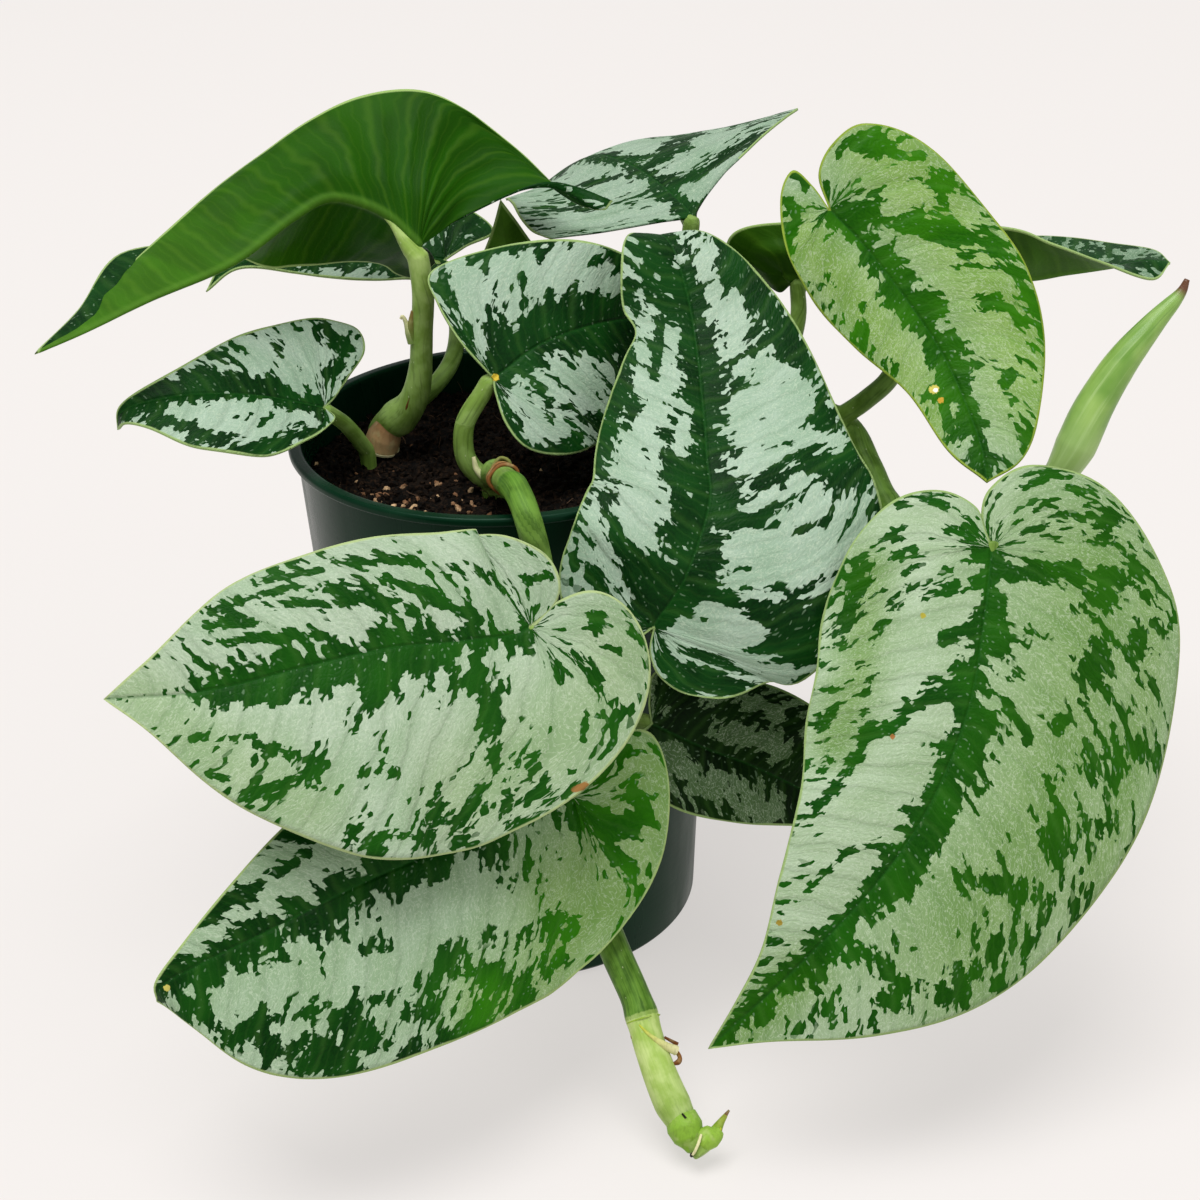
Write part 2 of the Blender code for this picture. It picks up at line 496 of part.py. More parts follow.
# Each stem is its main run and then the leaf stalks that leave it: (path, radii, steps).
# A main run starts straight down in the soil, where it stands in a plain hole.
STEMS = {
    "stem_left": [
        ([(-33, 13, 104), (-33, 13, 118), (-33, 13, 131), (-32.3, 12.4, 134.5), (-27.5, 8.5, 139.5),
          (-23.5, 6, 145), (-21.2, 5, 153), (-20, 4.8, 164), (-19, 4.2, 174), (-19.6, 4.9, 182.9)],
         [3.6, 3.6, 3.6, 3.6, 4.4, 3.6, 2.9, 2.8, 2.8, 2.7], 28),
        ([(-26, 8, 141), (-18.5, 12, 146), (-14, 20, 150), (-13, 32, 154), (-15, 42, 158.5),
          (-16.3, 46.6, 163.8)],
         [2.4, 2.3, 2.2, 2.1], 18),
    ],
    "stem_small_left": [
        ([(-36, 3, 108), (-36, 3, 118), (-36, 3, 131), (-37, 1.5, 135), (-40, -4, 143),
          (-43.8, -10.6, 149.8)],
         [2.1, 2.1, 2.1, 2.0, 1.9], 16),
    ],
    "vine_front": [
        ([(-3, -16, 104), (-3, -16, 118), (-3, -16, 130.5), (-3, -18, 134), (-1.5, -27, 138.5),
          (1, -42, 143.6), (4, -53, 145.6), (6.5, -60.6, 141.5), (8.5, -61, 130), (10, -60, 112),
          (12, -59, 92), (13.5, -61, 74), (16, -69, 58), (20, -80, 45), (23, -86, 38.5),
          (27.5, -94, 30.5), (30.5, -102, 22), (35, -110, 12.5), (41, -118, 5.2)],
         [3.4, 3.4, 3.5, 3.2, 3.2, 3.2, 3.2, 3.2, 3.2, 3.3, 3.5, 3.6, 3.6, 3.6, 3.8, 3.7, 3.9, 4.4, 2.2], 64),
        ([(-3, -17, 132), (-7, -16.5, 134), (-10, -16, 139), (-9.5, -15, 147), (-5, -13.4, 154),
          (-3.4, -12.8, 156.6)],
         [2.6, 2.6, 2.5, 2.4, 2.2], 18),
        ([(11, -59.6, 100), (9.5, -61, 108), (7, -69, 117), (6.1, -73.3, 121.1)], [2.3, 2.2, 2.0], 10),
        ([(13, -60, 80), (20, -59, 83), (28, -57, 86), (32.2, -58.6, 86.5)], [2.3, 2.2, 2.0], 10),
        ([(14.5, -65, 64), (15, -68, 70), (14.4, -72.9, 75.3)], [2.3, 2.0], 5),
    ],
    "vine_right": [
        ([(30, -2, 104), (30, -2, 118), (30, -2, 131), (31.5, -1.8, 135), (41, 0, 141), (57, 3, 146.6),
          (74, 5, 141.5), (87, 5, 133), (91.5, -2, 126), (95, -10, 119.5), (101, -21, 114), (112, -30, 113),
          (124, -31, 118), (132, -29.5, 127), (134.2, -29, 133.7)],
         [3.4, 3.4, 3.4, 3.3, 3.3, 3.3, 3.3, 3.3, 3.3, 3.4, 3.6, 4.0, 4.2], 52),
        ([(84, 5, 136), (91, 3, 142), (97, 1, 149.6), (100, 5, 160), (98, 10, 173), (91, 12, 185),
          (83.3, 8.2, 191)],
         [2.6, 2.5, 2.4, 2.3, 2.1], 22),
        ([(104, -25, 113), (109, -38, 116), (112, -49, 123), (113.3, -55.4, 128.4)], [2.7, 2.6, 2.4, 2.2], 12),
        ([(68, 4.5, 144), (72, 12, 151), (75, 18, 159), (75, 21.4, 166.6)], [2.4, 2.2, 2.0], 10),
        ([(62, 4, 146), (60, -15, 146), (56, -32, 140), (49, -44, 128), (40, -54, 117), (35.1, -62.2, 113.9)],
         [2.7, 2.6, 2.4, 2.2], 22),
    ],
    "stem_back": [
        ([(34, 24, 104), (34, 24, 118), (34, 24, 131), (34.3, 24.2, 135), (41, 26, 152), (46.5, 27, 170),
          (48.6, 27.7, 182)],
         [2.5, 2.5, 2.5, 2.4, 2.2], 20),
    ],
    "stem_inner": [
        ([(8, 33, 104), (8, 33, 118), (8, 33, 131), (7.8, 33, 135), (6, 33.2, 140), (5.4, 33.4, 143.6)],
         [2.2, 2.2, 2.2, 2.1, 2.0], 12),
    ],
}
NEW_LEAF = (
    [(134.4, -29, 135), (137.5, -28, 141), (142, -25, 150), (148.3, -22, 159.5), (155.8, -19, 168),
     (162, -17, 174.5), (163.8, -16, 178)],
    [4.2, 5.2, 5.1, 4.7, 4.3, 3.7, 2.9, 2.0, 0.7],
    18,
)


def make_stem(name, runs):
    """A main run with its leaf stalks, fused."""
    helpers = collection_named("helpers")
    green = paint("stem_green", (0.20, 0.36, 0.09), 0.45)
    main, *stalks = [tube_mesh(name, *run) for run in runs]
    stem = new_object(name, main, material=green)
    for stalk in stalks:
        new_object(f"{name}_stalk", stalk, "helpers")
    if stalks:
        apply_boolean(stem, "UNION", helpers)
    stem.data.materials.clear()
    stem.data.materials.append(green)
    shade(stem.data)
    return stem


def turned(name, profile, steps):
    """A solid turned about the upright axis from its profile of (radius, height)."""
    mesh = bpy.data.meshes.new(name)
    points = [(radius * MM, 0, height * MM) for radius, height in profile]
    mesh.from_pydata(points, [(k, k + 1) for k in range(len(points) - 1)], [])
    thing = new_object(name, mesh)
    screw = thing.modifiers.new("turn", "SCREW")
    screw.angle = math.tau
    screw.steps = steps
    screw.render_steps = steps
    screw.use_merge_vertices = True
    screw.merge_threshold = TURN_WELD
    graph = bpy.context.evaluated_depsgraph_get()
    mesh = bpy.data.meshes.new_from_object(thing.evaluated_get(graph))
    thing.modifiers.clear()
    thing.data = mesh
    return thing


def outer_radius(height):
    """The pot's outside under its rim."""
    return FOOT_RADIUS + (WALL_TOP_RADIUS - FOOT_RADIUS) * height / (POT_HEIGHT - RIM_BAND)


def make_pot():
    under_rim = POT_HEIGHT - RIM_BAND
    profile = [
        (0, POT_FLOOR),
        (outer_radius(POT_FLOOR) - WALL - 1.5, POT_FLOOR),
        (outer_radius(POT_FLOOR + 1.5) - WALL, POT_FLOOR + 1.5),
        (outer_radius(under_rim) - WALL, under_rim),
        (RIM_RADIUS - 3.4, POT_HEIGHT - 0.4),
        (RIM_RADIUS - 3.0, POT_HEIGHT),
        (RIM_RADIUS - 0.6, POT_HEIGHT),
        (RIM_RADIUS, POT_HEIGHT - 0.6),
        (RIM_RADIUS, under_rim + 0.4),
        (RIM_RADIUS - 0.4, under_rim),
        (outer_radius(under_rim), under_rim - 0.2),
        (outer_radius(12), 12),
        (outer_radius(1.4), 1.4),
        (FOOT_RADIUS - 1.2, 0),
        (0, 0),
    ]
    pot = turned("pot", profile, POT_STEPS)
    helpers = collection_named("helpers")
    for k in range(DRAIN_HOLES):
        angle = math.tau * (k + 0.5) / DRAIN_HOLES
        cutter = bmesh.new()
        radius = DRAIN_RADIUS * MM
        bmesh.ops.create_cone(
            cutter, cap_ends=True, segments=12, radius1=radius, radius2=radius, depth=DRAIN_CUTTER * MM
        )
        mesh = bpy.data.meshes.new("drain")
        cutter.to_mesh(mesh)
        cutter.free()
        hole = new_object("drain", mesh, "helpers")
        hole.location = (DRAIN_CIRCLE * MM * math.cos(angle), DRAIN_CIRCLE * MM * math.sin(angle), 0)
        hole.hide_render = True
        hole.display_type = "WIRE"
    bpy.context.view_layer.update()
    apply_boolean(pot, "DIFFERENCE", helpers)
    pot.data.materials.clear()
    pot.data.materials.append(paint("pot_plastic", (0.012, 0.035, 0.028), 0.45))
    shade(pot.data, 30)
    return pot


def make_soil():
    inner = [outer_radius(h) - WALL - FIT_GAP for h in (POT_FLOOR + 2, SOIL_TOP)]
    rings = [inner[1] * k / SOIL_RINGS for k in range(SOIL_RINGS + 1)]
    profile = [(r, SOIL_TOP) for r in rings]
    profile += [(inner[0] + 0.2, POT_FLOOR + 2.5), (inner[0] - 1.8, POT_FLOOR + FIT_GAP),
                (0, POT_FLOOR + FIT_GAP)]
    soil = turned("soil", profile, SOIL_STEPS)
    for vertex in soil.data.vertices:
        spot = vertex.co / MM
        radius = math.hypot(spot.x, spot.y)
        if spot.z > SOIL_TOP - 1 and radius < inner[1] - 1:
            lump = noise.noise(Vector((spot.x / 9, spot.y / 9, 3.7))) + 0.6 * noise.noise(
                Vector((spot.x / 4, spot.y / 4, 8.1))
            )
            vertex.co.z += SOIL_LUMP * lump * MM
    helpers = collection_named("helpers")
    for name, runs in STEMS.items():
        path, radii, _ = runs[0]
        foot, _, top = [Vector(p) for p in path[:3]]
        ends = [foot - Vector((0, 0, FIT_GAP)), top + Vector((0, 0, HOLE_REACH))]
        mesh = tube_mesh("hole", ends, [radii[0] + HOLE_SLACK], 4)
        hole = new_object(f"hole_{name}", mesh, "helpers")
        hole.hide_render = True
        hole.display_type = "WIRE"
    bpy.context.view_layer.update()
    apply_boolean(soil, "DIFFERENCE", helpers)
    soil.data.materials.clear()
    soil.data.materials.append(paint("potting_soil", (0.018, 0.012, 0.009), 0.95))
    return soil


def make_new_leaf():
    path, radii, steps = NEW_LEAF
    mesh = tube_mesh("new_leaf", path, radii, steps)
    shade(mesh)
    return new_object("new_leaf", mesh, material=paint("new_leaf_green", (0.45, 0.62, 0.25), 0.4))


def clear_scene():
    for thing in list(bpy.data.objects):
        bpy.data.objects.remove(thing)


clear_scene()
make_pot()
make_soil()
for stem_name, stem_runs in STEMS.items():
    make_stem(stem_name, stem_runs)
make_new_leaf()
for leaf_name, leaf_sizes in LEAVES.items():
    make_blade(leaf_name, flat_halves(leaf_sizes))
for leaf_name, leaf_rows in SHEETS.items():
    sheets = [sheet_through(leaf_rows[key], SHEET_STEPS, BLADE_COLUMNS) for key in ("left", "right")]
    make_blade(leaf_name, sheets)
bpy.data.collections.remove(collection_named("helpers"))
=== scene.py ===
"""Satin pothos in its nursery pot: the finished look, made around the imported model.

Lengths are in millimetres, as in the plant's own source, and become metres as each mesh is made.
The origin is the middle of the pot's foot, +Z is up, and the plant's front faces -Y.
"""

import json
import math

import bmesh
import bpy
import numpy as np
from mathutils import Matrix, Vector, noise
from mathutils.kdtree import KDTree

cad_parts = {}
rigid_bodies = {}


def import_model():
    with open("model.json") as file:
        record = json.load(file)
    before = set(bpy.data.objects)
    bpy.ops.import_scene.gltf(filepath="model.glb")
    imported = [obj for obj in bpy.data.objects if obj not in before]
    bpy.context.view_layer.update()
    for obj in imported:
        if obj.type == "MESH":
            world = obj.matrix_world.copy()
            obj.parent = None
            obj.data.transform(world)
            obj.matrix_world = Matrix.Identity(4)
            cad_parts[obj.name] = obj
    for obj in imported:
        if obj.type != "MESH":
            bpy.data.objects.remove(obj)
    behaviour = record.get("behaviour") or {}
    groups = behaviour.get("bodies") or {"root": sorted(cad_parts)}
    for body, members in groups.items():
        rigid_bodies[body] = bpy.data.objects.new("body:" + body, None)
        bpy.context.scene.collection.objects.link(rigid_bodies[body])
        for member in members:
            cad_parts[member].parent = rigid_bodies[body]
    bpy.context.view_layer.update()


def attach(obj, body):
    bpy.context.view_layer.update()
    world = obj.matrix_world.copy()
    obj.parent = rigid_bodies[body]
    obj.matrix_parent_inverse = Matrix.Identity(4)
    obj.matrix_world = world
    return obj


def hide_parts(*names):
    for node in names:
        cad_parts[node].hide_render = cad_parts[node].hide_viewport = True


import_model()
MM = 0.001

# Camera. It looks down at the plant from a step away, a little turned, as the photograph does.
CAMERA_AIM = Vector((21.95, 0, 88.8))
CAMERA_DISTANCE = 567.05
CAMERA_PITCH = math.radians(28.09)
CAMERA_ROLL = math.radians(-1.98)
CAMERA_LENS = 64.63
CAMERA_SENSOR = 36

forward = Vector((0, math.cos(CAMERA_PITCH), -math.sin(CAMERA_PITCH)))
level_up = Vector((0, math.sin(CAMERA_PITCH), math.cos(CAMERA_PITCH)))
level_right = Vector((1, 0, 0))
camera_right = math.cos(CAMERA_ROLL) * level_right + math.sin(CAMERA_ROLL) * level_up
camera_up = math.cos(CAMERA_ROLL) * level_up - math.sin(CAMERA_ROLL) * level_right
camera_data = bpy.data.cameras.new("camera")
camera_data.sensor_width = CAMERA_SENSOR
camera_data.lens = CAMERA_LENS
camera_data.clip_start = 0.01
camera_data.clip_end = 30
camera = bpy.data.objects.new("camera", camera_data)
turn = Matrix((camera_right, camera_up, -forward)).transposed().to_4x4()
camera.matrix_world = Matrix.Translation((CAMERA_AIM - CAMERA_DISTANCE * forward) * MM) @ turn
bpy.context.scene.collection.objects.link(camera)
bpy.context.scene.camera = camera
bpy.context.scene.view_settings.view_transform = "Standard"

# Studio. A pale paper sweep, which glows a little so that shadows stay faint, fills the frame.
# One big soft light hangs overhead, and a weaker one stands at the right.
SWEEP_SIZE = 9000
SWEEP_COLOUR = (0.27, 0.257, 0.247)
SWEEP_GLOW = (0.585, 0.56, 0.545)
AIR_COLOUR = (0.97, 0.98, 1)
AIR_STRENGTH = 0.5


def wire(tree, socket, value):
    """Feeds a socket from another one, or sets it to a plain value."""
    if isinstance(value, bpy.types.NodeSocket):
        tree.links.new(value, socket)
    else:
        socket.default_value = value


def add_node(tree, kind, inputs=None, **settings):
    """A node with its settings, its inputs given by name or number."""
    node = tree.nodes.new(kind)
    for name, value in settings.items():
        setattr(node, name, value)
    for key, value in (inputs or {}).items():
        wire(tree, node.inputs[key], value)
    return node


def new_material(name):
    """An empty material, its tree and its Principled BSDF."""
    material = bpy.data.materials.new(name)
    material.use_nodes = True
    tree = material.node_tree
    return material, tree, tree.nodes["Principled BSDF"]


def cover(piece, material):
    """Gives the piece one material, in place of any that it has."""
    piece.data.materials.clear()
    piece.data.materials.append(material)


def new_piece(name, mesh, material=None):
    """An object in the scene."""
    piece = bpy.data.objects.new(name, mesh)
    bpy.context.scene.collection.objects.link(piece)
    if material is not None:
        cover(piece, material)
    return piece


sweep_mesh = bpy.data.meshes.new("sweep")
half = SWEEP_SIZE / 2 * MM
corners = [(-half, -half, 0), (half, -half, 0), (half, half, 0), (-half, half, 0)]
sweep_mesh.from_pydata(corners, [], [(0, 1, 2, 3)])
sweep_paint, _, sweep_shader = new_material("sweep_paper")
sweep_shader.inputs["Base Color"].default_value = (*SWEEP_COLOUR, 1)
sweep_shader.inputs["Roughness"].default_value = 0.9
sweep_shader.inputs["Specular IOR Level"].default_value = 0.0
sweep_shader.inputs["Emission Color"].default_value = (*SWEEP_GLOW, 1)
sweep_shader.inputs["Emission Strength"].default_value = 1
sweep = new_piece("sweep", sweep_mesh, sweep_paint)


def soft_light(name, place, aim, size, watts):
    """A square panel light that faces a point."""
    data = bpy.data.lights.new(name, "AREA")
    data.shape = "SQUARE"
    data.size = size * MM
    data.energy = watts
    lamp = bpy.data.objects.new(name, data)
    lamp.location = Vector(place) * MM
    lamp.rotation_euler = (Vector(place) - Vector(aim)).to_track_quat("Z", "Y").to_euler()
    bpy.context.scene.collection.objects.link(lamp)


soft_light("key_light", place=(-400, -500, 4150), aim=(0, 0, 80), size=2600, watts=158)
soft_light("fill_light", place=(2400, -2400, 1900), aim=(20, 0, 100), size=2000, watts=18)
world = bpy.data.worlds.new("studio")
world.use_nodes = True
background = world.node_tree.nodes["Background"]
background.inputs["Color"].default_value = (*AIR_COLOUR, 1)
background.inputs["Strength"].default_value = AIR_STRENGTH
bpy.context.scene.world = world


# Shader parts that more than one finish uses: arithmetic, blends and masks over a surface.
def calc(tree, operation, *values):
    node = add_node(tree, "ShaderNodeMath", dict(enumerate(values)), operation=operation)
    return node.outputs[0]


def mix_colour(tree, factor, first, second):
    node = add_node(tree, "ShaderNodeMix", {0: factor, 6: first, 7: second}, data_type="RGBA")
    return node.outputs[2]


def tinge(tree, mask, amount, first, second):
    """The first colour, moved towards the second by the mask times the amount."""
    return mix_colour(tree, calc(tree, "MULTIPLY", mask, amount), first, second)


def ramp(tree, value, low, high, start=0.0, end=1.0):
    """The value's rise from low to high, softened, as start to end."""
    inputs = {"Value": value, "From Min": low, "From Max": high, "To Min": start, "To Max": end}
    return add_node(tree, "ShaderNodeMapRange", inputs, interpolation_type="SMOOTHSTEP").outputs[0]


def stretch(tree, vector, scale):
    """The vector with each axis scaled."""
    node = add_node(tree, "ShaderNodeVectorMath", {0: vector, 1: scale}, operation="MULTIPLY")
    return node.outputs[0]


def shift(tree, vector, other):
    node = add_node(tree, "ShaderNodeVectorMath", {0: vector, 1: other}, operation="ADD")
    return node.outputs[0]


def cloud(tree, vector, scale, detail=2.0, roughness=0.5):
    """Cloudy noise over the vector: its value and its colour."""
    inputs = {"Vector": vector, "Scale": scale, "Detail": detail, "Roughness": roughness}
    return add_node(tree, "ShaderNodeTexNoise", inputs).outputs


def dots(tree, place, scale, size, rarity, dimensions="3D"):
    """Round dots in the middle of some of the cells of a random pattern."""
    inputs = {"Vector": place, "Scale": scale}
    cells = add_node(tree, "ShaderNodeTexVoronoi", inputs, voronoi_dimensions=dimensions)
    chance = add_node(tree, "ShaderNodeSeparateColor", {0: cells.outputs["Color"]}).outputs[0]
    dot = ramp(tree, cells.outputs["Distance"], *size)
    return calc(tree, "MULTIPLY", dot, ramp(tree, chance, *rarity))


def weighted(tree, *parts):
    """The sum of values, each times its weight."""
    total = calc(tree, "MULTIPLY", *parts[0])
    for value, weight in parts[1:]:
        total = calc(tree, "ADD", total, calc(tree, "MULTIPLY", value, weight))
    return total


def read_attribute(tree, name, output="Fac"):
    return add_node(tree, "ShaderNodeAttribute", attribute_name=name).outputs[output]


def new_group(name, inputs, outputs):
    """A shader group with named inputs and outputs: the group, its inner inputs and its inner outputs."""
    group = bpy.data.node_groups.new(name, "ShaderNodeTree")
    for label, kind in inputs.items():
        group.interface.new_socket(name=label, in_out="INPUT", socket_type=f"NodeSocket{kind}")
    for label, kind in outputs.items():
        group.interface.new_socket(name=label, in_out="OUTPUT", socket_type=f"NodeSocket{kind}")
    start = group.nodes.new("NodeGroupInput")
    end = group.nodes.new("NodeGroupOutput")
    return group, start.outputs, end.inputs


def object_place(tree):
    return add_node(tree, "ShaderNodeTexCoord").outputs["Object"]


def finish_paint(tree, shader, colour, roughness, gloss=None, height=None, strength=1.0):
    """Sets a Principled BSDF's colour, roughness and specular level, and its relief by a height in mm."""
    wire(tree, shader.inputs["Base Color"], colour)
    wire(tree, shader.inputs["Roughness"], roughness)
    if gloss is not None:
        shader.inputs["Specular IOR Level"].default_value = gloss
    if height is not None:
        inputs = {"Height": height, "Distance": MM, "Strength": strength}
        wire(tree, shader.inputs["Normal"], add_node(tree, "ShaderNodeBump", inputs).outputs["Normal"])


# Pot. One thin injection-moulded piece of very dark green plastic, with a rolled rim band, a slight taper,
# a foot and eight drain holes. Its wall has the faint rings and dull scuffs of moulded plastic.
POT_HEIGHT = 140.0
RIM_RADIUS = 55.0
RIM_BAND = 2.2
WALL_TOP_RADIUS = 52.9
FOOT_RADIUS = 45.5
WALL = 1.4
POT_FLOOR = 2.2
DRAIN_HOLES = 8
DRAIN_RADIUS = 4.0
DRAIN_CIRCLE = 36.0
POT_STEPS = 160
CORNER_STEPS = 4
CORNER_RADIUS = 0.5
SHARP_ANGLE = math.radians(35)


def outer_radius(height):
    """The pot's outside under its rim."""
    return FOOT_RADIUS + (WALL_TOP_RADIUS - FOOT_RADIUS) * height / (POT_HEIGHT - RIM_BAND)


def rounded(profile, radius):
    """The profile with each inner corner turned into a small arc of at most the given radius."""
    points = [Vector(p) for p in profile]
    out = [points[0]]
    for before, corner, after in zip(points, points[1:], points[2:]):
        reach = min(radius, (before - corner).length / 2.2, (after - corner).length / 2.2)
        start = corner + (before - corner).normalized() * reach
        end = corner + (after - corner).normalized() * reach
        for k in range(CORNER_STEPS + 1):
            t = k / CORNER_STEPS
            out.append((1 - t) ** 2 * start + 2 * t * (1 - t) * corner + t * t * end)
    out.append(points[-1])
    return out


def applied(holder):
    """The object's mesh with its modifiers applied."""
    bpy.context.view_layer.update()
    return bpy.data.meshes.new_from_object(holder.evaluated_get(bpy.context.evaluated_depsgraph_get()))


def used_up(holder):
    """The mesh that a helper object makes, which is then removed."""
    made = applied(holder)
    bpy.data.objects.remove(holder)
    return made


def settle(piece):
    """Makes the piece's modifiers part of its mesh."""
    piece.data = applied(piece)
    piece.modifiers.clear()


def from_bmesh(name, shape):
    """A mesh out of a finished bmesh."""
    mesh = bpy.data.meshes.new(name)
    shape.to_mesh(mesh)
    shape.free()
    return mesh


def turned_mesh(name, profile, steps):
    """A closed mesh turned about the axis from a profile (radius, height) that starts and ends on it."""
    mesh = bpy.data.meshes.new(name)
    edges = [(k, k + 1) for k in range(len(profile) - 1)]
    mesh.from_pydata([(r * MM, 0, z * MM) for r, z in profile], edges, [])
    holder = new_piece(name, mesh)
    screw = holder.modifiers.new("turn", "SCREW")
    screw.angle = math.tau
    screw.steps = steps
    screw.render_steps = steps
    screw.use_merge_vertices = True
    screw.merge_threshold = 0.02 * MM
    return used_up(holder)


def make_pot():
    under = POT_HEIGHT - RIM_BAND
    profile = [
        (0, POT_FLOOR),
        (outer_radius(POT_FLOOR) - WALL - 1.5, POT_FLOOR),
        (outer_radius(POT_FLOOR + 1.5) - WALL, POT_FLOOR + 1.5),
        (outer_radius(under) - WALL, under),
        (RIM_RADIUS - 3.3, POT_HEIGHT - 0.5),
        (RIM_RADIUS - 2.6, POT_HEIGHT),
        (RIM_RADIUS - 0.5, POT_HEIGHT),
        (RIM_RADIUS, POT_HEIGHT - 0.6),
        (RIM_RADIUS, under + 0.4),
        (RIM_RADIUS - 0.4, under),
        (outer_radius(under), under - 0.2),
        (outer_radius(12), 12),
        (outer_radius(1.4), 1.4),
        (FOOT_RADIUS - 1.2, 0),
        (FOOT_RADIUS - 5, 0),
        (FOOT_RADIUS - 5.6, 0.6),
        (0, 0.6),
    ]
    pot = new_piece("nursery_pot", turned_mesh("nursery_pot", rounded(profile, CORNER_RADIUS), POT_STEPS))
    cutters = bpy.data.collections.new("drain_cutters")
    bpy.context.scene.collection.children.link(cutters)
    for k in range(DRAIN_HOLES):
        angle = math.tau * (k + 0.5) / DRAIN_HOLES
        cutter = bmesh.new()
        wide = DRAIN_RADIUS * MM
        bmesh.ops.create_cone(cutter, cap_ends=True, segments=28, radius1=wide, radius2=wide, depth=10 * MM)
        hole = bpy.data.objects.new("drain", from_bmesh("drain", cutter))
        hole.location = (DRAIN_CIRCLE * MM * math.cos(angle), DRAIN_CIRCLE * MM * math.sin(angle), 0)
        cutters.objects.link(hole)
    cut = pot.modifiers.new("drains", "BOOLEAN")
    cut.operation = "DIFFERENCE"
    cut.operand_type = "COLLECTION"
    cut.collection = cutters
    cut.solver = "EXACT"
    settle(pot)
    for hole in list(cutters.objects):
        bpy.data.objects.remove(hole)
    bpy.data.collections.remove(cutters)
    pot.data.shade_smooth()
    pot.data.set_sharp_from_angle(angle=SHARP_ANGLE)
    return pot


def pot_plastic():
    """Dark green moulded plastic: satin, with fine grain, faint rings, dull scuffs and a dry film."""
    material, tree, shader = new_material("pot_plastic")
    place = object_place(tree)
    grain = cloud(tree, place, 2600, 3)["Fac"]
    rings = cloud(tree, stretch(tree, place, (2.0, 2.0, 420.0)), 1, 2)["Fac"]
    scuff = cloud(tree, stretch(tree, place, (60.0, 60.0, 14.0)), 1, 5, 0.65)["Fac"]
    film = cloud(tree, place, 38, 4, 0.6)["Fac"]
    film = ramp(tree, film, 0.4, 0.7)
    base = mix_colour(tree, film, (0.001, 0.018, 0.0068, 1), (0.003, 0.025, 0.0098, 1))
    base = mix_colour(tree, ramp(tree, scuff, 0.64, 0.76, 0, 0.3), base, (0.02, 0.045, 0.034, 1))
    shader.inputs["Specular Tint"].default_value = (0.6, 1, 0.76, 1)
    height = weighted(tree, (grain, 0.02), (rings, 0.03))
    finish_paint(tree, shader, base, ramp(tree, scuff, 0.35, 0.75, 0.24, 0.42), 0.12, height)
    return material


pot = make_pot()
cover(pot, pot_plastic())
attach(pot, "root")
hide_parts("pot")

# Soil. Dark potting mix filled to just under the rim: fine black peat, crumbs of it on top, pale bits of
# perlite and bark, and a few coir fibres. Loose, pressed down by watering.
SOIL_TOP = 128.5
SOIL_LUMP = 1.6
SOIL_GRIT = 0.45
SOIL_GAP = 0.3
SOIL_RINGS = 46
SOIL_STEPS = 150
CRUMBS = 2300
CRUMB_SIZES = (0.8, 3.0)
BITS = 2600
BIT_SIZES = (0.6, 2.6)
BITS_HEAP = (-27, -31, SOIL_TOP)
BITS_SPREAD = 11
NO_HEAP = 1e3
FIBRES = 60
FIBRE_SCALES = (0.4, 1.0)
FIBRE_RADIUS = 0.11
FIBRE_LENGTH = 9
FIBRE_STEPS = 7
TUBE_ROUNDNESS = 8


def peat():
    """Nearly black, damp, rough peat with browner specks."""
    material, tree, shader = new_material("potting_soil")
    place = object_place(tree)
    speck = cloud(tree, place, 900, 4, 0.65)["Fac"]
    patch = cloud(tree, place, 90, 3)["Fac"]
    brown = ramp(tree, speck, 0.45, 0.75)
    base = mix_colour(tree, brown, (0.002, 0.0014, 0.001, 1), (0.04, 0.022, 0.012, 1))
    base = mix_colour(tree, ramp(tree, patch, 0.5, 0.75, 0, 0.5), base, (0.012, 0.007, 0.004, 1))
    finish_paint(tree, shader, base, ramp(tree, speck, 0.3, 0.7, 0.7, 0.95), 0.08, speck, 0.9)
    return material


def bark():
    """Tan perlite and bark: each bit its own shade from straw to brown."""
    material, tree, shader = new_material("soil_bits")
    place = object_place(tree)
    shade = cloud(tree, place, 160, 1)["Fac"]
    fine = cloud(tree, place, 1500, 4, 0.6)["Fac"]
    base = mix_colour(tree, ramp(tree, shade, 0.38, 0.62), (0.2, 0.09, 0.035, 1), (0.78, 0.52, 0.28, 1))
    base = mix_colour(tree, ramp(tree, fine, 0.5, 0.8, 0, 0.6), base, (0.07, 0.035, 0.018, 1))
    finish_paint(tree, shader, base, 0.85, height=fine, strength=0.5)
    return material


def coir():
    """Dull brown coir."""
    material, tree, shader = new_material("soil_fibre")
    shade = cloud(tree, object_place(tree), 240, 2)["Fac"]
    finish_paint(tree, shader, mix_colour(tree, shade, (0.02, 0.01, 0.005, 1), (0.14, 0.07, 0.03, 1)), 0.9)
    return material


def lump_mesh(name, seed, flatness):
    """A small irregular bit about 1 mm across, with few faces."""
    shape = bmesh.new()
    bmesh.ops.create_icosphere(shape, subdivisions=1, radius=0.5 * MM)
    for vertex in shape.verts:
        push = 1 + 0.55 * noise.noise(vertex.co / MM * 1.7 + Vector((seed * 3.1, 0, 0)))
        vertex.co = vertex.co * push
        vertex.co.z *= flatness
    return from_bmesh(name, shape)


def curve_tube(name, line, radii, roundness=TUBE_ROUNDNESS, caps=True):
    """A round tube along a line of points, as a plain mesh."""
    curve = bpy.data.curves.new(name, "CURVE")
    curve.dimensions = "3D"
    curve.bevel_depth = MM
    curve.bevel_resolution = roundness
    curve.use_fill_caps = caps
    spline = curve.splines.new("POLY")
    spline.points.add(len(line) - 1)
    for point, spot, radius in zip(spline.points, line, radii):
        point.co = (*(spot * MM), 1)
        point.radius = radius
    mesh = used_up(new_piece(name, curve))
    bpy.data.curves.remove(curve)
    return mesh


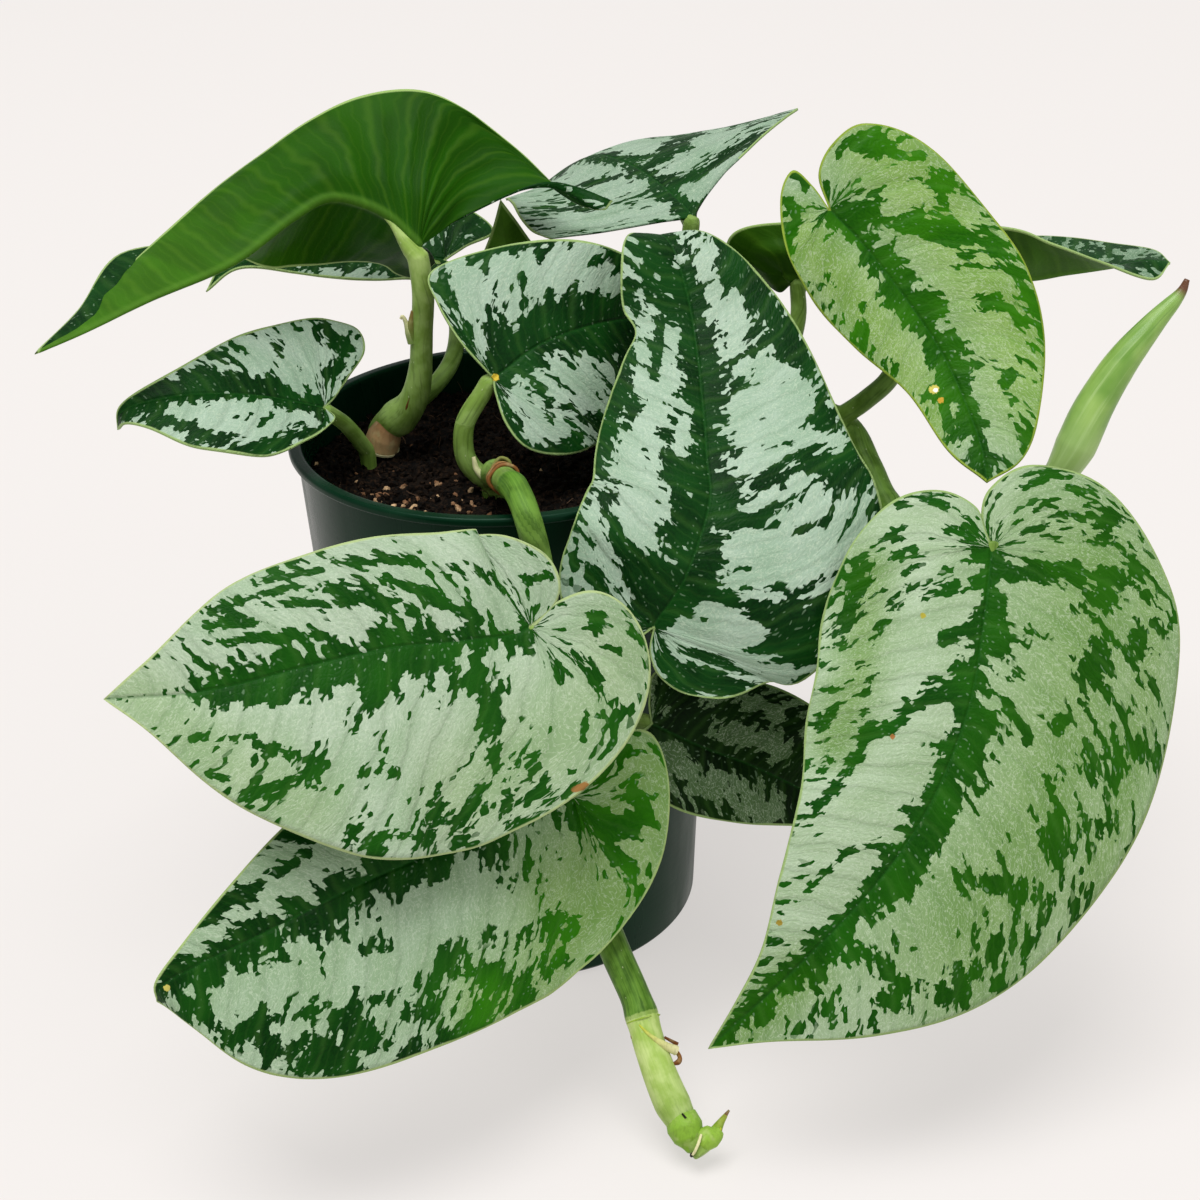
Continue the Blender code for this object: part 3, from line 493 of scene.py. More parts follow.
def fibre_mesh(name, seed):
    """A thin, bent fibre."""
    along = np.linspace(-0.5, 0.5, FIBRE_STEPS + 1) * FIBRE_LENGTH
    side = 1.6 * np.sin(along * 0.45 + seed)
    line = np.stack([along, side, 0.5 * np.cos(along * 0.7 + seed)], 1)
    return curve_tube(name, line, np.full(len(line), FIBRE_RADIUS), roundness=0, caps=False)


def scatter(name, ground, meshes, material, count, sizes, seed, heap=None, spread=None):
    """Bits strewn over the ground by geometry nodes, denser near the heap's middle if there is one."""
    bits = bpy.data.collections.new(f"{name}_kinds")
    for mesh in meshes:
        bits.objects.link(bpy.data.objects.new(mesh.name, mesh))
    tree = bpy.data.node_groups.new(name, "GeometryNodeTree")
    for label, kind in {
        "Geometry": "Geometry", "Kinds": "Collection", "Density": "Float", "Smallest": "Float",
        "Largest": "Float", "Heap": "Vector", "Spread": "Float", "Seed": "Int",
    }.items():
        tree.interface.new_socket(name=label, in_out="INPUT", socket_type=f"NodeSocket{kind}")
    tree.interface.new_socket(name="Geometry", in_out="OUTPUT", socket_type="NodeSocketGeometry")
    given = tree.nodes.new("NodeGroupInput").outputs
    done = tree.nodes.new("NodeGroupOutput").inputs
    where = add_node(tree, "GeometryNodeInputPosition").outputs[0]
    away = add_node(tree, "ShaderNodeVectorMath", {0: where, 1: given["Heap"]}, operation="DISTANCE")
    away = calc(tree, "DIVIDE", away.outputs["Value"], given["Spread"])
    falloff = calc(tree, "EXPONENT", calc(tree, "MULTIPLY", away, -1.0))
    density = calc(tree, "MULTIPLY", falloff, given["Density"])
    points = add_node(
        tree, "GeometryNodeDistributePointsOnFaces",
        {"Mesh": given["Geometry"], "Density": density, "Seed": given["Seed"]},
    )
    kinds = add_node(
        tree, "GeometryNodeCollectionInfo",
        {"Collection": given["Kinds"], "Separate Children": True, "Reset Children": True},
    )
    size = add_node(
        tree, "FunctionNodeRandomValue",
        {"Min": given["Smallest"], "Max": given["Largest"], "Seed": given["Seed"]}, data_type="FLOAT",
    )
    turns = {0: (0, 0, 0), 1: (6.28, 6.28, 6.28)}
    spin = add_node(tree, "FunctionNodeRandomValue", turns, data_type="FLOAT_VECTOR")
    placed = add_node(
        tree, "GeometryNodeInstanceOnPoints",
        {"Points": points.outputs["Points"], "Instance": kinds.outputs[0], "Pick Instance": True,
         "Rotation": spin.outputs[0], "Scale": size.outputs[1]},
    )
    real = add_node(tree, "GeometryNodeRealizeInstances", {"Geometry": placed.outputs[0]})
    painted = add_node(tree, "GeometryNodeSetMaterial", {"Geometry": real.outputs[0], "Material": material})
    wire(tree, done["Geometry"], painted.outputs[0])
    holder = new_piece(name, ground)
    modifier = holder.modifiers.new(name, "NODES")
    modifier.node_group = tree
    area = sum(face.area for face in ground.polygons)
    values = {
        "Kinds": bits, "Density": count / area, "Smallest": sizes[0], "Largest": sizes[1],
        "Heap": Vector(heap or (0, 0, SOIL_TOP)) * MM, "Spread": spread * MM if heap else NO_HEAP,
        "Seed": seed,
    }
    for item in tree.interface.items_tree:
        if item.in_out == "INPUT" and item.name in values:
            modifier[item.identifier] = values[item.name]
    made = used_up(holder)
    for kind in list(bits.objects):
        bpy.data.objects.remove(kind)
    bpy.data.collections.remove(bits)
    made.name = name
    return new_piece(name, made)


def soil_height(x, y):
    """How far the soil's surface stands above or below its level: broad lumps, then finer ones."""
    broad = noise.noise(Vector((x / 9, y / 9, 3.7))) + 0.6 * noise.noise(Vector((x / 4, y / 4, 8.1)))
    fine = noise.noise(Vector((x / 1.8, y / 1.8, 1.3))) + 0.6 * noise.noise(Vector((x / 0.8, y / 0.8, 5.9)))
    return SOIL_LUMP * broad + SOIL_GRIT * fine


def make_soil():
    top_radius, foot_radius = [outer_radius(h) - WALL - SOIL_GAP for h in (SOIL_TOP, POT_FLOOR + 2)]
    bottom = POT_FLOOR + SOIL_GAP
    profile = [(top_radius * k / SOIL_RINGS, SOIL_TOP) for k in range(SOIL_RINGS + 1)]
    profile += [(foot_radius + 0.2, POT_FLOOR + 2.5), (foot_radius - 1.8, bottom), (0, bottom)]
    mesh = turned_mesh("soil_body", profile, SOIL_STEPS)
    for vertex in mesh.vertices:
        spot = vertex.co / MM
        if spot.z > SOIL_TOP - 1:
            vertex.co.z += soil_height(spot.x, spot.y) * MM
    mesh.shade_smooth()
    return new_piece("soil_body", mesh, peat())


soil = make_soil()
top = bmesh.new()
top.from_mesh(soil.data)
lower = [face for face in top.faces if face.calc_center_median().z < (SOIL_TOP - 5) * MM]
bmesh.ops.delete(top, geom=lower, context="FACES")
ground = from_bmesh("soil_ground", top)
crumb_kinds = [lump_mesh(f"crumb_{k}", k, 0.8) for k in range(4)]
bit_kinds = [lump_mesh(f"bit_{k}", k + 10, 0.55) for k in range(5)]
fibre_kinds = [fibre_mesh(f"fibre_{k}", k * 1.9) for k in range(3)]
crumbs = scatter("soil_crumbs", ground, crumb_kinds, soil.data.materials[0], CRUMBS, CRUMB_SIZES, seed=4)
bits = scatter("soil_bark", ground, bit_kinds, bark(), BITS, BIT_SIZES, 9, BITS_HEAP, BITS_SPREAD)
fibres = scatter("soil_fibres", ground, fibre_kinds, coir(), FIBRES, FIBRE_SCALES, seed=12)
for piece in (soil, crumbs, bits, fibres):
    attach(piece, "root")
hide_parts("soil")

# Leaf blades. Thirteen thick, leathery, heart-shaped blades, each grown on its own stalk. They are green
# above, with matt silver blotches that run out along the side veins, ragged where they follow the skin's
# small cells. The margin is a thin pale line, and the underside is plain green with a raised midrib.
BLADE_THICKNESS = 0.6
HEEL_LENGTH = 30.0
RIB_SOFTNESS = 6.0
VEIN_LEAN = 0.6
FAN_ROWS = 30
RIB_ROWS = 96
BLADE_COLUMNS = 36
COLUMN_CROWDING = 1.3
SHEET_STEPS = 130
TANGENT_REACH = 3.0
SHEET_WELD = 0.02 * MM
# The right half's marking is read this far from the left one's, so that the two don't mirror each other.
SIDE_SHIFT = 300.0
VEIN_SPACING = 8.0
VEIN_UV = 0.01
CURL_STEPS = 10
MARK_STRENGTH = 0.34
RIDGE_HEIGHT = 0.9
RIDGE_WIDTH = 1.3
RIB_STEPS = 300
MARGIN_STEPS = 600
MARGIN_PACE = 0.6
VEIN_PULL = (0.2, 0.55)
STROKE_SOFTNESS = 1.25
QUILT_SHARPNESS = 0.7
# The quilting fades out towards the midrib, the margin and the tip, over these distances.
QUILT_FADES = (8, 6, 15)

# Each blade is laid out flat beside its midrib and then bent onto it.
# midrib: from the leaf stalk to the tip. heel: where the line between the lobes ends, behind the stalk, if
# it doesn't run straight on. faces: the way the upper face looks, evenly spaced along the midrib, where
# one alone holds all along, as with fold and curl.
# left, right: the margin from the notch, round the lobe, towards the tip, as (along, across) the midrib.
# fold: how far each half, (left, right), rises from the midrib, in degrees, from lobe to tip.
# curl: how far each half turns on from midrib to margin, in degrees, from lobe to tip.
# wave: the height of the margin's wave, and the length of one wave.
LEAVES = {
    "leaf_small_left": {
        "midrib": [
            (-44, -12, 151), (-58, -20, 158), (-71, -25, 161), (-82, -28, 161), (-89, -29, 159),
            (-91, -28, 154),
        ],
        "faces": [(-0.1, -0.55, 0.83), (-0.2, -0.6, 0.8)],
        "left": [(-2, 3), (1, 7), (8, 13), (20, 19.5), (35, 17), (46, 8)],
        "right": [(-3, 3), (-8, 10), (-14, 19), (-13, 26), (-5, 27), (5, 24), (20, 17), (35, 8), (47, 3)],
        "fold": [(15, 12), (12, 10)],
        "curl": [(-10, -10), (-15, -15)],
        "wave": (0.6, 24),
    },
    "leaf_inner": {
        "midrib": [(-2, -14, 158), (9, -6, 163), (22, 4, 164), (35, 14, 162), (46, 22, 159)],
        "faces": [(-0.2, -0.93, 0.3), (-0.2, -0.9, 0.35)],
        "left": [(-1, 12), (1, 23), (5, 30), (18, 26), (36, 20), (50, 12)],
        "right": [(-2, 3), (-5, 11), (-4, 19), (3, 26), (12, 28), (28, 27), (48, 15)],
        "fold": [(8, 8)],
        "curl": [(-20, -20)],
        "wave": (0.9, 26),
    },
    "leaf_tall_centre": {
        "midrib": [
            (34, -64, 115), (39, -62, 122), (43, -60, 129), (48, -50, 140), (48, -40, 147), (48, -28, 153),
            (47, -5, 166.5), (44, 6, 179), (41, 13, 183), (39, 20, 180), (37, 24, 171),
        ],
        "heel": (29, -72, 101),
        "faces": [
            (0.1, -0.9, 0.4), (0.15, -0.75, 0.65), (0.1, -0.6, 0.8), (0, -0.3, 0.95), (0.1, 0.5, 0.85),
        ],
        "left": [
            (-4, 3), (-9, 9), (-4, 20), (8, 28), (32, 28), (55, 24.5), (74, 18.5), (84, 14.5), (92, 16.5),
            (101, 15.5), (107, 13.5), (112, 9.5), (119, 3),
        ],
        "right": [
            (-6, 1), (-11, 5), (-13, 13), (-9, 25), (9, 37), (26, 44), (40, 40), (60, 33), (83, 25),
            (98, 17), (108, 11), (118, 5),
        ],
        "fold": [(8, 8)],
        "curl": [(-22, -22)],
        "wave": (1.0, 36),
    },
    "leaf_upper_right": {
        "midrib": [
            (81, 6, 191), (89, 2, 183), (99, -5, 171), (108, -14, 158), (114, -28, 144), (115, -36, 136),
        ],
        "faces": [(0, -0.88, 0.47)],
        "left": [(-8, 4), (-11, 12), (-9, 21), (3, 28), (28, 30), (42, 28), (57, 21), (74, 10)],
        "right": [(-7, -1), (-13, 0), (-10, 7), (1, 15), (15, 18), (32, 17), (50, 12), (70, 8)],
        "fold": [(8, 8)],
        "curl": [(-25, -20)],
        "wave": (1.0, 30),
    },
    "leaf_hanging_right": {
        "midrib": [
            (113, -56, 129), (110, -67, 116), (105, -80, 100), (95, -93, 83), (82, -103, 69), (64, -111, 53),
            (43, -116, 34),
        ],
        "faces": [(0.05, -0.9, 0.42)],
        "left": [
            (-6, -3), (-14, -2), (-21, 7), (-19, 24), (-6, 39), (13, 47.5), (42, 49), (71, 43.5), (90, 36),
            (108, 24), (125, 9),
        ],
        "right": [
            (-4, 2), (-9, 5), (-11.5, 13), (-9, 22), (-2, 29), (9, 34.5), (28, 37), (57, 34), (80, 26),
            (97, 18), (112, 9), (125, 4),
        ],
        "fold": [(10, 8), (8, 8)],
        "curl": [(-30, -25), (-25, -20)],
        "wave": (1.2, 40),
    },
    "leaf_front_upper": {
        "midrib": [
            (6, -74, 122), (-8, -81, 123), (-25, -87, 125), (-42, -92, 124), (-64, -96, 121),
            (-86, -98, 121),
        ],
        "heel": (20, -70, 136),
        "faces": [(-0.05, -0.85, 0.5), (-0.15, -0.82, 0.53), (-0.25, -0.8, 0.55)],
        "left": [
            (-8, 0), (-16, 5), (-18, 14), (-13, 24), (0, 35.5), (10, 43), (22, 46.5), (42, 46), (56, 40),
            (70, 28), (85, 10),
        ],
        "right": [
            (-8, 0), (-13, 3), (-15, 10), (-11, 20), (-2, 25), (15, 25), (38, 25), (60, 23), (75, 17),
            (88, 7),
        ],
        "fold": [(8, 8)],
        "curl": [(-22, -22)],
        "wave": (1.0, 34),
    },
    "leaf_front_lower": {
        "midrib": [
            (14, -74, 76), (-1, -85, 77), (-16, -95, 77), (-34, -105, 75), (-51, -112, 70), (-69, -116, 63),
            (-78, -117, 58), (-80, -116, 53),
        ],
        "heel": (36, -64, 90),
        "faces": [(-0.05, -0.9, 0.43), (-0.2, -0.88, 0.45)],
        "left": [
            (-9, -1), (-19, -4), (-24, 1), (-20, 11), (-10, 22), (1, 31), (9, 38), (18, 41.5), (45, 41.5),
            (72, 38.5), (92, 29.5), (105, 15),
        ],
        "right": [(-8, 3), (-13, 7), (-8, 15), (12, 23), (33, 25), (52, 23), (70, 18), (85, 12), (102, 4)],
        "fold": [(8, 8)],
        "curl": [(-22, -20)],
        "wave": (1.2, 38),
    },
    "leaf_shaded": {
        "midrib": [(33, -60, 87), (46, -61, 80), (59, -60, 73), (77, -56, 59), (91, -50, 43)],
        "faces": [(0.1, -0.85, 0.5)],
        "left": [(-3, 5), (-4, 12), (8, 17), (30, 20), (52, 15)],
        "right": [(-2, 5), (1, 11), (12, 16), (30, 14), (50, 7), (65, 2)],
        "fold": [(8, 8)],
        "curl": [(-20, -20)],
        "wave": (0.7, 28),
    },
    "leaf_far_left": {
        "midrib": [
            (-16, 48, 167), (-28, 48, 169), (-42, 44, 169), (-56, 40, 171), (-69, 33, 173), (-77, 30, 167),
        ],
        "faces": [(0, -0.5, 0.86)],
        "left": [(-5, 3), (-8, 8), (5, 9), (25, 7), (50, 3)],
        "right": [(-5, 5), (-12, 12), (0, 20), (25, 16), (50, 6)],
        "fold": [(10, 10)],
        "curl": [(-20, -20)],
        "wave": (0.9, 24),
    },
    "leaf_behind": {
        "midrib": [(5, 34, 146), (3, 35, 160), (1, 36, 174), (0, 36, 187)],
        "faces": [(0.1, 0.95, -0.2), (0.1, 0.95, -0.1)],
        "left": [(-4, 4), (-4, 9), (6, 12), (18, 11), (32, 5)],
        "right": [(-4, 4), (-4, 9), (6, 13), (18, 12), (32, 4)],
        "fold": [(10, 10)],
        "curl": [(10, 10)],
        "wave": (0.5, 22),
    },
}

# Three blades are cupped and twisted too far to lie flat, so each half is a sheet through rows of points.
# Each row is a side vein from the midrib's own point to the margin. The rows go from the lobe, round the
# stalk, to the tip, where they all meet.
SHEETS = {
    "leaf_arched_left": {
        "midrib": [
            (-19.5, 6, 185), (-19.5, 6, 185), (-19.5, 6, 185), (-19.5, 6, 185), (-19.5, 6, 186),
            (-21.5, 7, 188), (-26, 9, 192), (-33, 10, 195.5), (-41, 8, 197.5), (-49.5, 1, 194.5),
            (-62.5, -10, 188), (-80, -25, 185), (-93.5, -35, 181.5), (-104.5, -40, 178.5),
        ],
        "left": [
            [(-15, 9, 187), (-7, 15, 190.5), (12, 21, 196), (28.5, 17, 191.5)],
            [(-14.5, 10, 189.5), (-6, 19, 193.5), (12, 22, 195), (25.5, 15, 190)],
            [(-15, 11, 192), (-6.5, 23, 197.5), (5.5, 28, 199), (17, 22, 191.5)],
            [(-16, 12, 195), (-11, 25, 201.5), (-2.5, 32, 204), (6.5, 31, 200)],
            [(-18, 13, 197.5), (-16, 26, 206), (-12, 34, 212), (-6.5, 35, 210)],
            [(-22.5, 14, 198.5), (-22, 26, 207.5), (-20.5, 34, 213.5), (-19, 37, 215.5)],
            [(-29, 15, 201), (-31, 25, 208), (-32.5, 32, 213), (-33.5, 35, 215)],
            [(-36.5, 13, 202.5), (-39.5, 20, 207), (-43.5, 26, 210.5), (-46, 29, 211)],
            [(-45, 9, 201.5), (-50, 14, 203.5), (-55, 19, 205.5), (-57.5, 22, 205)],
            [(-54, 2, 197), (-59.5, 7, 198.5), (-64.5, 11, 200.5), (-68, 14, 199.5)],
            [(-66, -8, 190), (-70.5, -4, 192), (-75, 0, 193.5), (-77.5, 3, 194)],
            [(-82, -23, 186), (-84, -20, 187.5), (-86.5, -16, 188), (-89, -13, 187)],
            [(-94.5, -34, 182), (-95.5, -32, 182), (-96.5, -31, 182), (-97.5, -30, 181.5)],
        ],
        "right": [
            [(-17.5, 12, 182), (-17, 19, 178), (-17, 25, 174.5)],
            [(-19, 13, 180), (-19.5, 22, 175), (-20.5, 28, 171)],
            [(-20.5, 14, 178.5), (-22, 23, 173.5), (-24, 29, 169.5)],
            [(-22, 14, 179), (-24.5, 23, 174), (-27.5, 28, 171)],
            [(-23.5, 14, 181), (-26.5, 22, 176), (-30, 27, 173.5)],
            [(-25, 14, 182.5), (-29.5, 21, 178), (-33.5, 26, 175)],
            [(-30.5, 14, 185.5), (-35, 20, 180), (-39.5, 24, 176)],
            [(-37.5, 14, 189), (-41.5, 18, 182), (-46, 21, 176.5)],
            [(-44.5, 11, 191), (-48.5, 14, 184.5), (-52, 16, 178)],
            [(-52.5, 6, 188.5), (-55.5, 10, 183.5), (-58.5, 12, 179.5)],
            [(-64, -3, 186), (-66.5, 3, 185), (-70.5, 8, 186.5)],
            [(-81, -16, 184.5), (-85, -10, 188), (-89.5, -6, 190)],
            [(-93.5, -31, 182.5), (-95, -28, 183.5), (-96.5, -26, 183.5)],
        ],
    },
    "leaf_back_centre": {
        "midrib": [
            (49, 28, 183), (45, 36, 185.5), (40, 47, 187), (34, 58, 188), (26, 68, 188), (18, 75, 183.5),
            (6.5, 78, 174.5),
        ],
        "left": [
            [(38, 25, 182.5), (25, 24, 181), (12.5, 24, 180)],
            [(35.5, 31, 184), (22.5, 27, 182.5), (8, 26, 181.5)],
            [(32, 38, 186), (19, 33, 183.5), (5, 31, 183.5)],
            [(27, 48, 186.5), (15, 42, 184), (3, 38, 185)],
            [(21, 58, 185.5), (12, 52, 183.5), (1.5, 47, 183.5)],
            [(14, 68, 181.5), (7.5, 63, 180.5), (1, 58, 180)],
        ],
        "right": [
            [(52.5, 34, 186), (57.5, 40, 190), (62, 45, 193)],
            [(52, 43, 188.5), (60.5, 51, 192), (69.5, 57, 195.5)],
            [(50.5, 54, 190), (64, 64, 194), (76.5, 71, 196)],
            [(48, 67, 190.5), (65, 77, 192), (80.5, 82, 195)],
            [(42.5, 78, 188.5), (58.5, 88, 188), (72.5, 92, 188)],
            [(32, 86, 185), (44.5, 94, 182.5), (54.5, 98, 180.5)],
        ],
    },
    "leaf_far_right": {
        "midrib": [
            (74, 22, 168), (74, 22, 168), (74, 22, 168), (94.5, 27, 164), (131.5, 26, 164), (144, 24, 166),
            (155, 22, 168), (162.5, 20, 170), (169, 18, 170),
        ],
        "left": [
            [(69, 28, 169.5), (64.5, 36, 169), (61.5, 42, 169)],
            [(72, 30, 169.5), (70, 40, 169.5), (69, 47, 169.5)],
            [(78, 32, 169.5), (80, 42, 169), (81, 50, 169)],
            [(96, 36, 166), (97.5, 46, 166.5), (99.5, 54, 166.5)],
            [(133, 35, 165.5), (134.5, 43, 166.5), (136, 50, 167.5)],
            [(145, 31, 167.5), (147, 39, 167.5), (149, 46, 168)],
            [(156.5, 28, 168), (158, 34, 168), (159.5, 40, 168)],
            [(164, 24, 169.5), (166, 28, 169), (168, 31, 169)],
        ],
        "right": [
            [(71, 23, 164), (67, 26, 165.5), (62, 28, 169)],
            [(68, 22, 171), (62.5, 25, 173.5), (57.5, 27, 176.5)],
            [(71, 19, 175.5), (68, 22, 179), (65.5, 24, 182)],
            [(93.5, 20, 172.5), (94, 18, 179), (94, 18, 183.5)],
            [(129.5, 20, 171), (127.5, 17, 177), (125.5, 15, 182)],
            [(142, 20, 170.5), (139.5, 17, 174.5), (137.5, 15, 177.5)],
            [(153.5, 19, 169.5), (151.5, 16, 171.5), (150, 14, 172.5)],
            [(162.5, 17, 169.5), (162.5, 14, 169), (163, 12, 168)],
        ],
    },
}


def curve_between(a, b, c, d, u):
    """The place at share u on a smooth curve from b to c that comes from a and goes on to d."""
    return b + 0.5 * ((c - a) * u + (2 * a - 5 * b + 4 * c - d) * u**2 + (3 * b - 3 * c + d - a) * u**3)


def run_of(line):
    """How far along the line each of its points is."""
    return np.concatenate([[0], np.cumsum(np.linalg.norm(np.diff(line, axis=0), axis=1))])


def read_along(where, run, rows):
    """The rows, which are given at the distances in run, read at other distances."""
    return np.stack([np.interp(where, run, column) for column in rows.T], -1)


def resample(line, shares):
    """Points at the given shares of the line's length."""
    run = run_of(line)
    return read_along(shares * run[-1], run, line)


def smooth_path(points, steps):
    """Evenly spaced points on a smooth curve through the given ones."""
    knots = np.array(points, float)
    knots = np.vstack([2 * knots[0] - knots[1], knots, 2 * knots[-1] - knots[-2]])
    u = np.linspace(0, 1, 24, endpoint=False)[:, None]
    pieces = [curve_between(*four, u) for four in zip(knots, knots[1:], knots[2:], knots[3:])]
    return resample(np.vstack([*pieces, knots[-2][None]]), np.linspace(0, 1, steps + 1))


def unit(vectors):
    return vectors / np.linalg.norm(vectors, axis=-1, keepdims=True)


def at_stations(where, start, end, values):
    """Values given at even stations from start to end, read at other places."""
    return read_along(where, np.linspace(start, end, len(values)), np.array(values, float))


def rib_of(leaf):
    """The line from the lobes' heel over the stalk to the tip, and how far along it each point is."""
    stalk, after = np.array(leaf["midrib"][:2], float)
    heel = leaf.get("heel", stalk + HEEL_LENGTH * unit(stalk - after))
    line = smooth_path([heel, *leaf["midrib"]], RIB_STEPS)
    run = run_of(line)
    return line, run - run[np.argmin(np.linalg.norm(line - stalk, axis=1))]


def bend_onto_rib(leaf, side, plan):
    """Places of the flat points (along, across) on the bent half: side is 0 for left and 1 for right."""
    rib, run = rib_of(leaf)
    length = run[-1]
    along, across = plan[..., 0], plan[..., 1]
    nearby = np.exp(-(((run[:, None] - run[None, :]) / RIB_SOFTNESS) ** 2))
    tangents = unit(nearby @ np.gradient(rib, axis=0))
    tangent = unit(read_along(along, run, tangents))
    spot = read_along(along, run, rib) + tangents[0] * np.minimum(along - run[0], 0)[..., None]
    face = at_stations(along, 0, length, leaf["faces"])
    face = unit(face - tangent * (face * tangent).sum(-1, keepdims=True))
    sideways = np.cross(tangent, face) * (1 if side else -1)
    outline = np.array(leaf["right" if side else "left"], float)
    rear, widest = outline[:, 0].min(), outline[:, 1].max()
    fold = np.radians(at_stations(along, rear, length, leaf["fold"])[..., side])
    curl = np.radians(at_stations(along, rear, length, leaf["curl"])[..., side])
    reach = across / widest
    out, rise = 0.0, 0.0
    for k in (np.arange(CURL_STEPS) + 0.5) / CURL_STEPS:
        angle = fold + curl * reach * k
        out = out + np.cos(angle) / CURL_STEPS
        rise = rise + np.sin(angle) / CURL_STEPS
    height, wavelength = leaf["wave"]
    ripple = height * reach**3 * np.sin(2 * math.pi * along / wavelength + side)
    return spot + sideways * (out * across)[..., None] + face * (rise * across + ripple)[..., None]


def half_plan(outline, length):
    """Rows of flat points over one half, each row a vein from the midrib to the margin.

    With the points come each row's distance along the midrib, below zero round the lobe, and the margin.
    """
    edge = smooth_path([(0, 0), *outline, (length, 0)], MARGIN_STEPS)
    rear = int(np.argmin(edge[:, 0]))
    share = np.linspace(0, 1, BLADE_COLUMNS + 1) ** COLUMN_CROWDING
    notch = resample(edge[: rear + 1], share)
    margin = edge[rear:]
    origin = np.maximum.accumulate(margin[:, 0] - VEIN_LEAN * margin[:, 1])
    order = np.arange(len(margin))
    fan_end = np.interp(0, origin, order)
    on_rib = np.linspace(0, length, RIB_ROWS + 1)
    starts = np.concatenate([np.zeros(FAN_ROWS), on_rib])
    fan = np.linspace(0, fan_end, FAN_ROWS, endpoint=False)
    places = np.concatenate([fan, np.interp(on_rib, origin, order)])
    notch_turns = (notch[:, 0] + 1j * notch[:, 1]) / (notch[-1, 0] + 1j * notch[-1, 1])
    step = np.linalg.norm(margin[1] - margin[0])
    rows, stations = [], []
    for k, (start, place) in enumerate(zip(starts, places)):
        end = read_along(place, order, margin)
        pull = np.array([start + VEIN_PULL[0] * (end[0] - start), VEIN_PULL[1] * end[1]])
        root = np.array([start, 0.0])
        vein = np.outer((1 - share) ** 2, root) + np.outer(2 * share * (1 - share), pull)
        vein = vein + np.outer(share**2, end)
        turned = notch_turns * (end[0] + 1j * end[1])
        like_notch = np.stack([turned.real, turned.imag], 1)
        blend = max(0.0, 1 - k / FAN_ROWS)
        rows.append(blend * like_notch + (1 - blend) * vein)
        stations.append(start - MARGIN_PACE * step * max(0.0, fan_end - place))
    return np.array(rows), np.array(stations), edge


def distance_to_line(points, line):
    """How far each flat point is from the nearest part of a line."""
    best = np.full(len(points), 1e9)
    for a, b in zip(line, line[1:]):
        way = b - a
        share = np.clip(((points - a) @ way) / max(way @ way, 1e-9), 0, 1)
        best = np.minimum(best, np.linalg.norm(points - a - share[:, None] * way, axis=1))
    return best


def strokes(flat, marks):
    """How strongly soft strokes cover flat points: none at 0, and fully at 1."""
    total = np.zeros(len(flat))
    for x0, y0, x1, y1, width in marks:
        away = distance_to_line(flat, np.array([(x0, y0), (x1, y1)], float))
        total = np.maximum(total, np.exp(-((away / (STROKE_SOFTNESS * width)) ** 2)))
    return total


def through(points, shares):
    """Places at shares of the way along a smooth line through the points, which count as evenly spaced."""
    knots = np.array(points, float)
    knots = np.concatenate([2 * knots[:1] - knots[1:2], knots, 2 * knots[-1:] - knots[-2:-1]])
    spans = len(knots) - 3
    place = np.minimum(shares * spans, spans - 1e-9)
    k = place.astype(int)
    u = (place - k).reshape(-1, *[1] * (knots.ndim - 1))
    return curve_between(*[knots[k + step] for step in range(4)], u)


def run_along(grid):
    """How far each point of each row lies from the row's start."""
    steps = np.linalg.norm(np.diff(grid, axis=1), axis=2)
    return np.concatenate([np.zeros((len(grid), 1)), np.cumsum(steps, axis=1)], axis=1)


def flat_half(leaf, side):
    """One half, bent from its flat plan: places, flat places, stations, and distances from the margin."""
    plan, stations, margin = half_plan(leaf["right" if side else "left"], rib_of(leaf)[1][-1])
    from_margin = distance_to_line(plan.reshape(-1, 2), margin[::6]).reshape(plan.shape[:2])
    return bend_onto_rib(leaf, side, plan), plan, stations, from_margin


def sheet_half(sheet, side):
    """One half that is a sheet through its rows, with the same facts worked out along them."""
    rows = [[rib, *row] for rib, row in zip(sheet["midrib"], sheet[side])]
    rows.append([sheet["midrib"][-1]] * len(rows[0]))
    share = np.linspace(0, 1, BLADE_COLUMNS + 1) ** COLUMN_CROWDING
    along = through(rows, np.linspace(0, 1, SHEET_STEPS + 1))
    grid = through(along.swapaxes(0, 1), share).swapaxes(0, 1)
    reach = run_along(grid)
    rib_steps = np.linalg.norm(np.diff(grid[:, 0], axis=0), axis=1)
    margin_steps = np.linalg.norm(np.diff(grid[:, -1], axis=0), axis=1)
    rib = np.concatenate([[0], np.cumsum(rib_steps)])
    stations = np.concatenate([[0], np.cumsum(np.maximum(rib_steps, MARGIN_PACE * margin_steps))])
    stations = stations - stations[np.searchsorted(rib, TANGENT_REACH)]
    ahead = np.minimum(rib + TANGENT_REACH, rib[-1])
    tangent = unit(read_along(ahead, rib, grid[:, 0]) - read_along(ahead - TANGENT_REACH, rib, grid[:, 0]))
    way = grid[:, -1] - grid[:, 0]
    way = way / np.maximum(np.linalg.norm(way, axis=1, keepdims=True), 1e-6)
    lean = (way * tangent).sum(-1)
    plan = np.stack([rib[:, None] + reach * lean[:, None], reach * np.sqrt(1 - lean**2)[:, None]], -1)
    return grid, plan, stations, reach[:, -1:] - reach


def grid_faces(rows, wide, first=0, turned_over=False):
    """Four-sided faces between the points of a grid, which count along its rows from the first."""
    faces = []
    for a in [first + row * wide + column for row in range(rows - 1) for column in range(wide - 1)]:
        b, c, d = a + 1, a + wide + 1, a + wide
        faces.append((a, d, c, b) if turned_over else (a, b, c, d))
    return faces


def read_numbers(items, field, width=1, kind=float):
    """A row of numbers from each item of a mesh."""
    numbers = np.empty(len(items) * width, kind)
    items.foreach_get(field, numbers)
    return numbers.reshape(-1, width)


